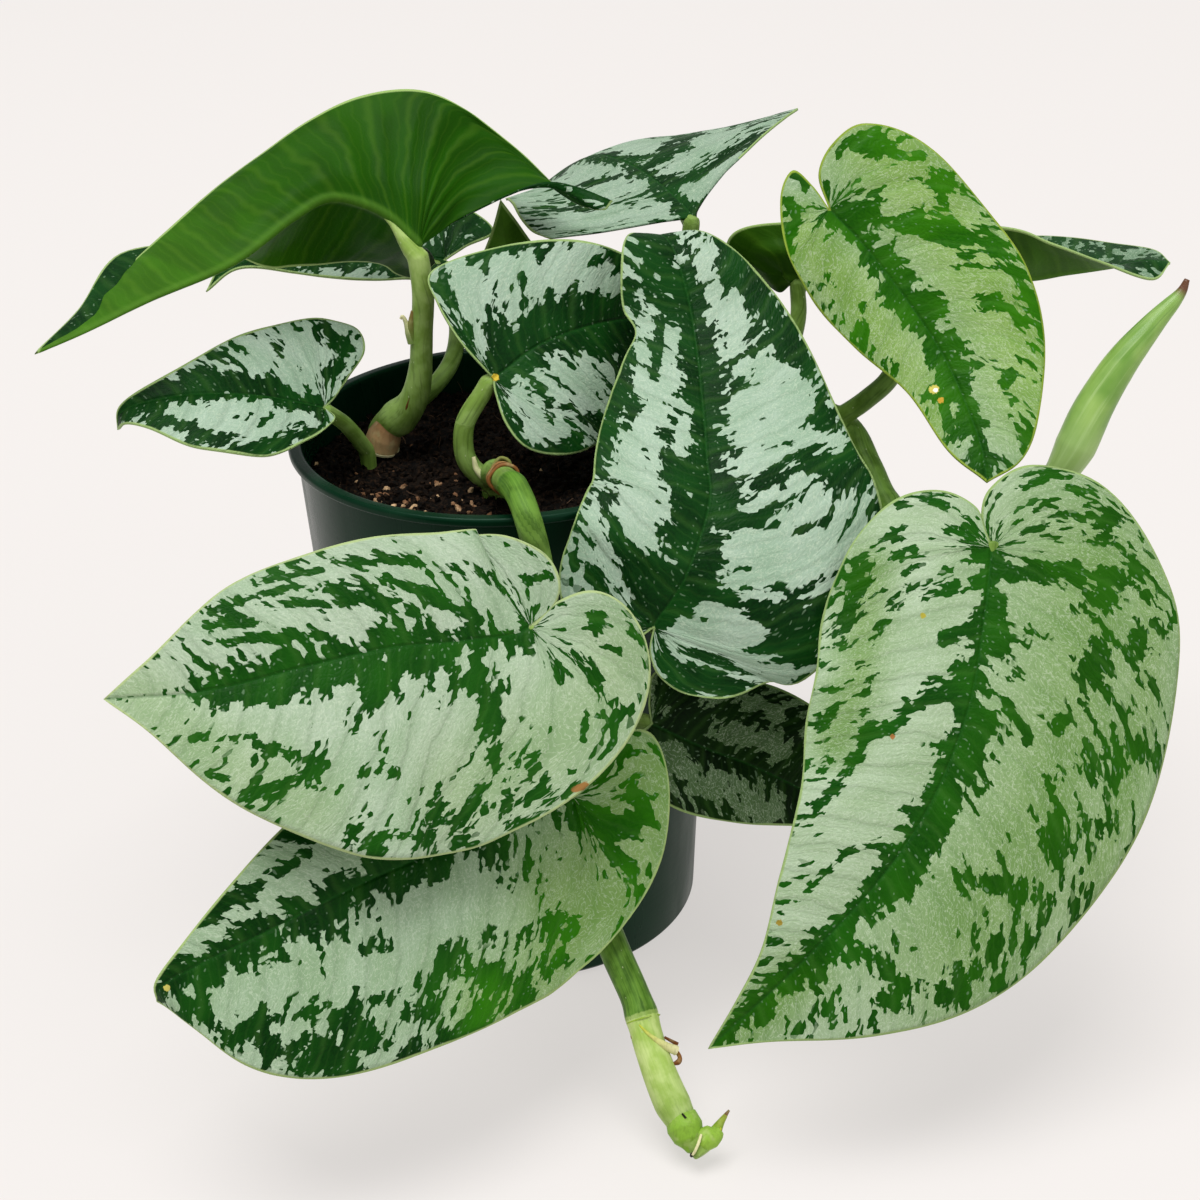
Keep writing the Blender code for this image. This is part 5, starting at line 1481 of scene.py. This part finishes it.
for leaf_name, leaf_look in LOOKS.items():
    leaf_look = {**MATURE, **leaf_look}
    paints = (upper_paint(leaf_name, leaf_look), lower_paint(leaf_name, leaf_look))
    if leaf_name in LEAVES:
        halves = [flat_half(LEAVES[leaf_name], side) for side in (0, 1)]
    else:
        halves = [sheet_half(SHEETS[leaf_name], side) for side in ("left", "right")]
    blade = make_blade(f"blade_{leaf_name[5:]}", halves, leaf_look, paints)
    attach(blade, "root")
    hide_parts(leaf_name)

# Stems. Each main run stands in its hole in the soil and carries its leaf stalks, all one living piece:
# round, juicy green, finely grooved lengthwise, swollen at the joints. The front vine climbs over the rim
# and hangs down the pot.
STEM_VOXEL = 0.4
STALK_REACH = 1.0
STEM_SMOOTHING = 8
STEM_STEPS = 260
SEAT_REACH = 6.0
BLEND_PLACES = (2.0, 4.0, 6.5, 9.0, 12.0)
BLEND_TAPER = (0.82, 0.68, 0.52, 0.36, 0.2)
# Each run's grooves are read this far from the last one's, so that no two runs look alike.
RUN_SHIFT = 400.0

# Each stem is its main run and then the leaf stalks that leave it: (path, radii).
# A main run starts straight down in the soil, where it stands in a plain hole.
STEMS = {
    "stem_left": [
        ([
            (-33, 13, 104), (-33, 13, 118), (-33, 13, 131), (-32.3, 12.4, 134.5), (-27.5, 8.5, 139.5),
            (-23.5, 6, 145), (-21.2, 5, 153), (-20, 4.8, 164), (-19, 4.2, 174), (-19.6, 4.9, 182.9),
        ], [3.6, 3.6, 3.6, 3.6, 4.4, 3.6, 2.9, 2.8, 2.8, 2.7]),
        ([
            (-26, 8, 141), (-18.5, 12, 146), (-14, 20, 150), (-13, 32, 154), (-15, 42, 158.5),
            (-16.3, 46.6, 163.8),
        ], [2.4, 2.3, 2.2, 2.1]),
    ],
    "stem_small_left": [
        ([
            (-36, 3, 108), (-36, 3, 118), (-36, 3, 131), (-37, 1.5, 135), (-40, -4, 143),
            (-43.8, -10.6, 149.8),
        ], [2.1, 2.1, 2.1, 2.0, 1.9]),
    ],
    "vine_front": [
        ([
            (-3, -16, 104), (-3, -16, 118), (-3, -16, 130.5), (-3, -18, 134), (-1.5, -27, 138.5),
            (1, -42, 143.6), (4, -53, 145.6), (6.5, -60.6, 141.5), (8.5, -61, 130), (10, -60, 112),
            (12, -59, 92), (13.5, -61, 74), (16, -69, 58), (20, -80, 45), (23, -86, 38.5), (27.5, -94, 30.5),
            (30.5, -102, 22), (35, -110, 12.5), (41, -118, 5.2),
        ], [
            3.4, 3.4, 3.5, 3.2, 3.2, 3.2, 3.2, 3.2, 3.2, 3.3, 3.5, 3.6, 3.6, 3.6, 3.8, 3.7, 3.9, 4.4, 2.2,
        ]),
        ([
            (-3, -17, 132), (-7, -16.5, 134), (-10, -16, 139), (-9.5, -15, 147), (-5, -13.4, 154),
            (-3.4, -12.8, 156.6),
        ], [2.6, 2.6, 2.5, 2.4, 2.2]),
        ([(11, -59.6, 100), (9.5, -61, 108), (7, -69, 117), (6.1, -73.3, 121.1)], [2.3, 2.2, 2.0]),
        ([(13, -60, 80), (20, -59, 83), (28, -57, 86), (32.2, -58.6, 86.5)], [2.3, 2.2, 2.0]),
        ([(14.5, -65, 64), (15, -68, 70), (14.4, -72.9, 75.3)], [2.3, 2.0]),
    ],
    "vine_right": [
        ([
            (30, -2, 104), (30, -2, 118), (30, -2, 131), (31.5, -1.8, 135), (41, 0, 141), (57, 3, 146.6),
            (74, 5, 141.5), (87, 5, 133), (91.5, -2, 126), (95, -10, 119.5), (101, -21, 114),
            (112, -30, 113), (124, -31, 118), (132, -29.5, 127), (134.2, -29, 133.7),
        ], [3.4, 3.4, 3.4, 3.3, 3.3, 3.3, 3.3, 3.3, 3.3, 3.4, 3.6, 4.0, 4.2]),
        ([
            (84, 5, 136), (91, 3, 142), (97, 1, 149.6), (100, 5, 160), (98, 10, 173), (91, 12, 185),
            (83.3, 8.2, 191),
        ], [2.6, 2.5, 2.4, 2.3, 2.1]),
        ([(104, -25, 113), (109, -38, 116), (112, -49, 123), (113.3, -55.4, 128.4)], [2.7, 2.6, 2.4, 2.2]),
        ([(68, 4.5, 144), (72, 12, 151), (75, 18, 159), (75, 21.4, 166.6)], [2.4, 2.2, 2.0]),
        ([
            (62, 4, 146), (60, -15, 146), (56, -32, 140), (49, -44, 128), (40, -54, 117),
            (35.1, -62.2, 113.9),
        ], [2.7, 2.6, 2.4, 2.2]),
    ],
    "stem_back": [
        ([
            (34, 24, 104), (34, 24, 118), (34, 24, 131), (34.3, 24.2, 135), (41, 26, 152), (46.5, 27, 170),
            (48.6, 27.7, 182),
        ], [2.5, 2.5, 2.5, 2.4, 2.2]),
    ],
    "stem_inner": [
        ([
            (8, 33, 104), (8, 33, 118), (8, 33, 131), (7.8, 33, 135), (6, 33.2, 140), (5.4, 33.4, 143.6),
        ], [2.2, 2.2, 2.2, 2.1, 2.0]),
    ],
}

# How pale each run is, from 0 for deep green to 1 for pale, as (distance along the run, paleness).
STEM_TONES = {
    "stem_left": [[(0, 0.2), (36, 0.34), (60, 0.38), (85, 0.6)], [(0, 0.3), (50, 0.3)]],
    "stem_small_left": [[(0, 0.25), (60, 0.3)]],
    "vine_front": [
        [(0, 0.2), (62, 0.25), (63.5, 0.04), (75, 0.1), (90, 0.25), (150, 0.1), (206, 0.08), (207.5, 0.97),
         (218, 0.95), (232, 0.62), (241, 0.5)],
        [(0, 0.28), (14, 0.36), (30, 0.44)], [(0, 0.3), (27, 0.4)], [(0, 0.3), (24, 0.4)],
        [(0, 0.3), (13, 0.4)],
    ],
    "vine_right": [
        [(0, 0.15), (80, 0.2), (150, 0.1), (190, 0.3)], [(0, 0.2), (60, 0.35)], [(0, 0.2), (40, 0.3)],
        [(0, 0.2), (40, 0.3)], [(0, 0.15), (80, 0.3)],
    ],
    "stem_back": [[(0, 0.25), (80, 0.35)]],
    "stem_inner": [[(0, 0.25), (40, 0.3)]],
}
# Swollen joints along each main run, as (distance along it, how much it swells, half length).
STEM_JOINTS = {
    "stem_left": [(38, 0.5, 4)],
    "vine_front": [(35, 0.5, 3), (64, 0.35, 2.5), (206.5, 0.35, 2.2)],
    "vine_right": [(92, 0.3, 4), (118, 0.4, 3), (74, 0.3, 3)],
}


def blade_seats():
    """For each blade, where its stalk meets it and the first stretch of its midrib beyond that."""
    seats = [(np.array(leaf["midrib"][0], float), *rib_of(leaf)) for leaf in LEAVES.values()]
    for sheet in SHEETS.values():
        line = smooth_path(list(dict.fromkeys(sheet["midrib"])), RIB_STEPS)
        seats.append((line[0], line, run_of(line)))
    return [(seat, read_along(BLEND_PLACES, run, line)) for seat, line, run in seats]


SEATS = blade_seats()


def even_radii(radii, count):
    """The radii, which are evenly spaced along a line, at each of its points."""
    return np.interp(np.linspace(0, 1, count), np.linspace(0, 1, len(radii)), radii)


def stem_line(name, number, run):
    """One run's fine line, its radii with their joints, the distance along it and how pale it is."""
    path, widths = run
    line = smooth_path(path, STEM_STEPS)
    line = np.vstack([line, line[-1] + unit(line[-1] - line[-6]) * STALK_REACH])
    along = run_of(line)
    radii = np.interp(along / along[-1], np.linspace(0, 1, len(widths)), widths)
    if number == 0:
        for place, swell, half_length in STEM_JOINTS.get(name, []):
            radii = radii + swell * np.exp(-(((along - place) / half_length) ** 2))
    pale = np.interp(along, *zip(*STEM_TONES[name][number]))
    for seat, rib in SEATS:
        if np.linalg.norm(seat - line[-2]) < SEAT_REACH:
            way = unit(rib[-1] - seat)
            back = line[-10] - seat
            below = unit(back - way * (back @ way))
            thin = radii[-1] * np.array(BLEND_TAPER)
            line = np.vstack([line[:-1], rib + below * thin[:, None]])
            radii = np.concatenate([radii[:-1], thin])
            along = np.concatenate([along[:-1], along[-2] + np.array(BLEND_PLACES)])
            pale = np.concatenate([pale[:-1], np.full(len(thin), pale[-1])])
    return line, radii, along, pale


def joined(name, parts):
    """One mesh out of several, which are removed."""
    whole = bmesh.new()
    for part in parts:
        whole.from_mesh(part)
        bpy.data.meshes.remove(part)
    return from_bmesh(name, whole)


def dress_stem(name, runs):
    """The whole stem: its runs melted into one skin, which knows where along the stem each point lies."""
    lines, radii, alongs, tones = zip(*[stem_line(name, number, run) for number, run in enumerate(runs)])
    holder = new_piece(name, joined(name, [curve_tube(name, *tube) for tube in zip(lines, radii)]))
    remesh = holder.modifiers.new("melt", "REMESH")
    remesh.mode = "VOXEL"
    remesh.voxel_size = STEM_VOXEL * MM
    smooth = holder.modifiers.new("smooth", "SMOOTH")
    smooth.iterations = STEM_SMOOTHING
    settle(holder)
    centres, tones = np.vstack(lines), np.concatenate(tones)
    alongs = np.concatenate([along + RUN_SHIFT * k for k, along in enumerate(alongs)])
    ways = np.vstack([unit(np.gradient(line, axis=0)) for line in lines])
    sides = unit(np.cross(ways, (0.31, 0.17, 0.94)))
    tree = KDTree(len(centres))
    for k, centre in enumerate(centres):
        tree.insert(Vector(centre), k)
    tree.balance()
    place = read_numbers(holder.data.vertices, "co", 3) / MM
    nearest = np.array([tree.find(Vector(spot))[1] for spot in place])
    out = place - centres[nearest]
    lie = np.stack([
        alongs[nearest] + (out * ways[nearest]).sum(1),
        (out * sides[nearest]).sum(1),
        (out * np.cross(ways[nearest], sides[nearest])).sum(1),
    ], 1).astype(np.float32)
    write_attribute(holder.data, "lie", lie, "FLOAT_VECTOR")
    tone = np.interp(lie[:, 0], alongs, tones) if len(lines) == 1 else tones[nearest]
    write_attribute(holder.data, "tone", tone)
    holder.data.shade_smooth()
    return holder


def stem_paint():
    """Juicy green skin: fine lengthwise grooves, soft blotches and small pale pores, paler where young."""
    material, tree, shader = new_material("stem_skin")
    lie = read_attribute(tree, "lie", "Vector")
    tone = read_attribute(tree, "tone")
    streak = cloud(tree, stretch(tree, lie, (0.06, 1.5, 1.5)), 1, 4, 0.6)["Fac"]
    blotch = cloud(tree, stretch(tree, lie, (0.22, 0.3, 0.3)), 1, 3)["Fac"]
    patch = ramp(tree, blotch, 0.35, 0.65)
    deep = mix_colour(tree, patch, srgb(38, 84, 5), srgb(74, 124, 22))
    pale = mix_colour(tree, patch, srgb(168, 196, 96), srgb(200, 218, 138))
    base = mix_colour(tree, tone, deep, pale)
    base = mix_colour(tree, ramp(tree, streak, 0.4, 0.75, 0, 0.35), base, srgb(128, 164, 66))
    dark = ramp(tree, tone, 0.4, 0.9, 0.45, 0.08)
    base = tinge(tree, ramp(tree, streak, 0.5, 0.25), dark, base, srgb(30, 62, 6))
    pore = dots(tree, stretch(tree, lie, (0.45, 0.9, 0.9)), 1.0, (0.16, 0.08), (0.7, 0.74))
    base = tinge(tree, pore, 0.6, base, srgb(190, 205, 150))
    height = weighted(tree, (streak, 0.12), (pore, 0.05))
    finish_paint(tree, shader, base, ramp(tree, blotch, 0.3, 0.7, 0.38, 0.5), 0.12, height)
    return material


STEM_SKIN = stem_paint()
for stem_name, stem_runs in STEMS.items():
    stem = dress_stem(stem_name, stem_runs)
    stem.name = f"skin_{stem_name}"
    cover(stem, STEM_SKIN)
    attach(stem, "root")
    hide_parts(stem_name)

# Sheaths, scars and buds. The vine's tip is a fat bud in two folded scales with a thin horn. Old sheaths
# have dried to tan paper round the joints, some split or curled up, and short brown root stubs stand out at
# the nodes. They grew with the stem and stay on it.
# The deep green goes only into the curled sheath's hollow, as painted shade.
GREEN, HOLLOW_SHADE_GREEN = (136, 176, 62), (52, 96, 14)
YELLOW, CREAM, TAN = (188, 196, 40), (226, 220, 170), (196, 164, 116)
BROWN, BLACK = (104, 58, 22), (26, 24, 14)
# Each bit is a tapering, closed strand: (points, radii, colour at its start, colour at its end).
STEM_BITS = {
    "tail_bud": [
        ([(36.6, -111.8, 11), (37.7, -114.2, 8.6), (38.6, -116.6, 6.4), (38.8, -118.2, 5.2)],
         [3.7, 4.3, 3.5, 1.0], GREEN, (120, 160, 44)),
        ([(39.5, -116.6, 6.6), (42, -116.4, 7.4), (44.4, -115.8, 8.2), (45.6, -115, 8.8)],
         [1.7, 2.8, 2.7, 1.3], (140, 178, 60), (142, 180, 64)),
        ([(44.8, -114.8, 8.6), (45.9, -114, 10.2), (47.2, -113.2, 11.8)],
         [1.4, 0.9, 0.5], (134, 170, 50), (150, 160, 60)),
        ([(47.1, -113.2, 11.7), (48, -112.7, 12.7)], [0.5, 0.25], BROWN, BROWN),
        ([(41.2, -117.8, 10.3), (40.4, -119.2, 8.8), (39.6, -119.9, 7.2), (39, -119.9, 6)],
         [0.3, 0.35, 0.35, 0.3], CREAM, CREAM),
        ([(38.9, -119.9, 6.1), (38.7, -119.7, 5.5)], [0.5, 0.4], BLACK, BLACK),
        ([(37.7, -115.2, 13), (36.9, -114.5, 13.8)], [0.3, 0.22], BLACK, BLACK),
        ([(45.5, -115.6, 9.7), (45.8, -115.6, 9)], [0.5, 0.4], YELLOW, BROWN),
    ],
    "tail_node": [
        ([(27.7, -100.5, 28.9), (30.2, -102.4, 27.2), (33.4, -103, 24.7), (36.2, -102.6, 22.6)],
         [0.2, 0.45, 0.9, 1.2], YELLOW, CREAM),
        ([(33.6, -101.3, 25.6), (36.6, -101.6, 23.6)], [0.3, 0.5], BROWN, BROWN),
        ([(36.3, -102.4, 22.2), (37, -103.2, 21.1), (36.7, -103.8, 20.2), (35.2, -104.4, 20)],
         [0.5, 0.5, 0.7, 0.3], (150, 96, 36), BROWN),
        ([(27.5, -99.6, 26.4), (26.3, -99.9, 25), (26.5, -100.2, 24.4)],
         [0.9, 1.0, 0.4], BROWN, (130, 80, 30)),
    ],
    "left_sheaths": [
        ([(-22.6, 3.6, 161.2), (-23.4, 3.8, 165.4), (-24.4, 4.2, 168), (-25, 4.2, 167.4)],
         [1.1, 1.1, 0.6, 0.35], (120, 150, 70), CREAM),
        ([(-22.6, 3.8, 161.8), (-22.4, 3.6, 166), (-21.8, 3.4, 169.6)],
         [1.2, 1.0, 0.5], (112, 142, 60), (134, 110, 60)),
        ([(-29.6, 8, 139.6), (-30.8, 8.6, 136.6), (-32.2, 9, 133.4), (-33, 9.2, 131.2)],
         [1.4, 3.4, 4.4, 4.6], BROWN, TAN),
        ([(-33, 9.2, 131.3), (-33.2, 9.3, 130.7)], [4.8, 4.7], CREAM, CREAM),
        ([(-24.1, 2.6, 147), (-24.9, 3, 144.6), (-25.8, 3.4, 142)], [0.2, 0.5, 0.3], BROWN, (90, 60, 24)),
    ],
    "front_node": [
        ([(-7.7, -19.2, 139.8), (-7, -20.2, 136.8), (-4.6, -22, 135.2), (-1.8, -24, 136)],
         [0.5, 0.8, 1.1, 1.2], CREAM, (96, 130, 56)),
    ],
}
# Rings round the front vine where a sheath fell off: (distance along it, how far out, thickness, colour).
NODE_RINGS = [
    (49, 0.1, 0.4, (120, 76, 36)), (50.5, 0.2, 0.4, (150, 108, 56)), (52, 0.2, 0.45, (96, 56, 22)),
    (54, 0.3, 0.45, (132, 84, 40)), (207, -0.05, 0.18, (150, 180, 60)),
]
# The curled sheath's open end: its middle, radius and edge, and how far in the dark plug that paints the
# shade in its hollow starts and ends.
CURL_MIDDLE, CURL_RADIUS, CURL_EDGE, CURL_SHADE_DEPTHS = (-0.2, -33.4, 143.3), 2.1, 0.45, (0.4, 4)
RING_STEPS = 48
STRAND_STEPS = 24


def tinted(name, strands):
    """One mesh of closed strands, each shaded from its first colour to its second."""
    tubes, tints = [], []
    for line, radii, first, last in strands:
        tube = curve_tube(name, line, radii)
        place = read_numbers(tube.vertices, "co", 3) / MM
        away = np.linalg.norm(place[:, None] - line[None], axis=2)
        share = (away.argmin(axis=1) / (len(line) - 1))[:, None]
        tints.append((1 - share) * np.array(srgb(*first)) + share * np.array(srgb(*last)))
        tubes.append(tube)
    mesh = joined(name, tubes)
    write_attribute(mesh, "tint", np.concatenate(tints), "FLOAT_COLOR")
    mesh.shade_smooth()
    return mesh


def sheath_paint():
    """Each bit's own tint, broken by fine lengthwise fibres and small blotches."""
    material, tree, shader = new_material("sheath_skin")
    place = object_place(tree)
    tint = read_attribute(tree, "tint", "Color")
    fibre = cloud(tree, stretch(tree, place, (1400.0, 1400.0, 300.0)), 1, 3, 0.6)["Fac"]
    blotch = cloud(tree, place, 420, 2)["Fac"]
    base = mix_colour(tree, ramp(tree, fibre, 0.42, 0.7, 0, 0.2), tint, (0.02, 0.02, 0.004, 1))
    base = mix_colour(tree, ramp(tree, blotch, 0.5, 0.75, 0, 0.25), base, (0.6, 0.62, 0.3, 1))
    finish_paint(tree, shader, base, 0.5, 0.15, calc(tree, "MULTIPLY", fibre, 0.15))
    return material


def ring_strand(middle, way, radius, thickness, colour):
    """A strand that runs once round a middle, square to a way, a little uneven."""
    side = unit(np.cross(way, (0.3, 0.2, 0.9)))
    other = np.cross(way, side)
    turn = np.linspace(0, math.tau, RING_STEPS + 1)[:, None]
    uneven = 1 + 0.05 * np.sin(3 * turn + middle[0]) + 0.03 * np.sin(5 * turn)
    line = middle + radius * uneven * (np.cos(turn) * side + np.sin(turn) * other)
    return line, np.full(len(line), thickness), colour, colour


def fine_strand(line, radii, first, last):
    """The strand with its line and radii made smooth."""
    return smooth_path(line, STRAND_STEPS), even_radii(radii, STRAND_STEPS + 1), first, last


fine_bits = {name: [fine_strand(*strand) for strand in strands] for name, strands in STEM_BITS.items()}
vine_line, vine_radii, vine_along, _ = stem_line("vine_front", 0, STEMS["vine_front"][0])
vine_ways = unit(np.gradient(vine_line, axis=0))
for place, out, thickness, colour in NODE_RINGS:
    k = int(np.searchsorted(vine_along, place))
    ring = ring_strand(vine_line[k], vine_ways[k], vine_radii[k] + out, thickness, colour)
    fine_bits["front_node" if place < 100 else "tail_node"].append(ring)
towards_camera = -np.array(forward)
curl = np.array(CURL_MIDDLE)
hollow_shade = np.linspace(curl - CURL_SHADE_DEPTHS[0] * towards_camera, curl - CURL_SHADE_DEPTHS[1] * towards_camera, 8)
# The open end gets a ring for its edge and, inside, a plug from deep green to black that is painted shade in
# its hollow.
fine_bits["front_node"] += [
    ring_strand(curl, towards_camera, CURL_RADIUS, CURL_EDGE, (120, 124, 60)),
    (hollow_shade, np.full(len(hollow_shade), CURL_RADIUS), HOLLOW_SHADE_GREEN, BLACK),
]
SHEATH_SKIN = sheath_paint()
for bits_name, strands in fine_bits.items():
    bits_piece = new_piece(bits_name, tinted(bits_name, strands), SHEATH_SKIN)
    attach(bits_piece, "root")

# New leaf. It is still rolled up in a tight spiral, pale green and glossy, with one long seam and a dry
# brown tip.
ROLL_PATH = [
    (134.4, -29, 135), (137.5, -28, 141), (142, -25, 150), (148.3, -22, 159.5), (155.8, -19, 168),
    (162, -17, 174.5), (163.8, -16, 178),
]
ROLL_RADII = [4.2, 5.2, 5.1, 4.7, 4.3, 3.7, 2.9, 2.0, 0.7]
ROLL_TURNS = 1.7
ROLL_STEPS = 60
ROLL_ROWS = 90
ROLL_THICKNESS = 0.28
ROLL_FOOT = 1.6
ROLL_START = 1.9
ROLL_TWIST = 0.9
TURN_GAP = 0.42
TURN_WIDTH = 18


def rolled_leaf():
    """A sheet wound round the bud's line, each turn a little inside the last, and twisted along the bud."""
    line = smooth_path(ROLL_PATH, ROLL_ROWS)
    line = np.vstack([line[0] - unit(line[1] - line[0]) * ROLL_FOOT, line[1:]])
    ways = unit(np.gradient(line, axis=0))
    share = np.linspace(0, 1, len(line))
    radii = even_radii(ROLL_RADII, len(line))[:, None]
    side = unit(np.cross(ways, (0, -1, 0.2)))
    other = np.cross(ways, side)
    turns = np.linspace(0, ROLL_TURNS, ROLL_STEPS + 1)
    angle = math.tau * turns[None, :] + ROLL_START + ROLL_TWIST * share[:, None]
    inward = TURN_GAP * turns[None, :] * np.clip(radii / 4, 0.12, 1)
    bulge = np.exp(-(((turns - 0.02) / 0.06) ** 2))[None, :] * 0.25 * np.clip(radii / 4, 0.1, 1)
    radius = radii - 0.2 - inward + bulge
    grid = (
        line[:, None, :]
        + (radius * np.cos(angle))[..., None] * side[:, None, :]
        + (radius * np.sin(angle))[..., None] * other[:, None, :]
    )
    rows, wide = grid.shape[:2]
    mesh = bpy.data.meshes.new("rolled_leaf")
    mesh.from_pydata((grid.reshape(-1, 3) * MM).tolist(), [], grid_faces(rows, wide))
    seam = np.tile(turns * TURN_WIDTH, rows)
    lie = np.stack([np.repeat(run_of(line), wide), seam, np.zeros(rows * wide)], 1)
    write_attribute(mesh, "lie", lie, "FLOAT_VECTOR")
    write_attribute(mesh, "seam", seam)
    write_attribute(mesh, "along", np.repeat(share, wide))
    holder = new_piece("rolled_leaf", mesh)
    thicken(holder, ROLL_THICKNESS)
    holder.data.shade_smooth()
    return holder


def new_leaf_paint():
    """Pale young green with faint lengthwise veins, a light seam and a dry brown tip."""
    material, tree, shader = new_material("new_leaf_skin")
    lie = read_attribute(tree, "lie", "Vector")
    along = read_attribute(tree, "along")
    veins = cloud(tree, stretch(tree, lie, (0.03, 1.1, 1)), 1, 3, 0.6)["Fac"]
    drift = cloud(tree, stretch(tree, lie, (0.06, 0.12, 1)), 1, 3)["Fac"]
    base = mix_colour(tree, ramp(tree, drift, 0.3, 0.7), srgb(98, 144, 46), srgb(150, 184, 92))
    base = mix_colour(tree, ramp(tree, along, 0.35, 0.0, 0, 0.6), base, srgb(170, 198, 124))
    base = mix_colour(tree, ramp(tree, veins, 0.5, 0.75, 0, 0.5), base, srgb(182, 208, 140))
    base = mix_colour(tree, ramp(tree, veins, 0.45, 0.25, 0, 0.5), base, srgb(64, 108, 20))
    seam = ramp(tree, read_attribute(tree, "seam"), 0.9, 0.2, 0, 0.75)
    base = mix_colour(tree, seam, base, srgb(202, 216, 150))
    base = mix_colour(tree, ramp(tree, along, 0.9, 0.96), base, srgb(96, 56, 24))
    finish_paint(tree, shader, base, 0.36, height=calc(tree, "MULTIPLY", veins, 0.12))
    return material


roll = rolled_leaf()
cover(roll, new_leaf_paint())
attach(roll, "root")
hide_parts("new_leaf")
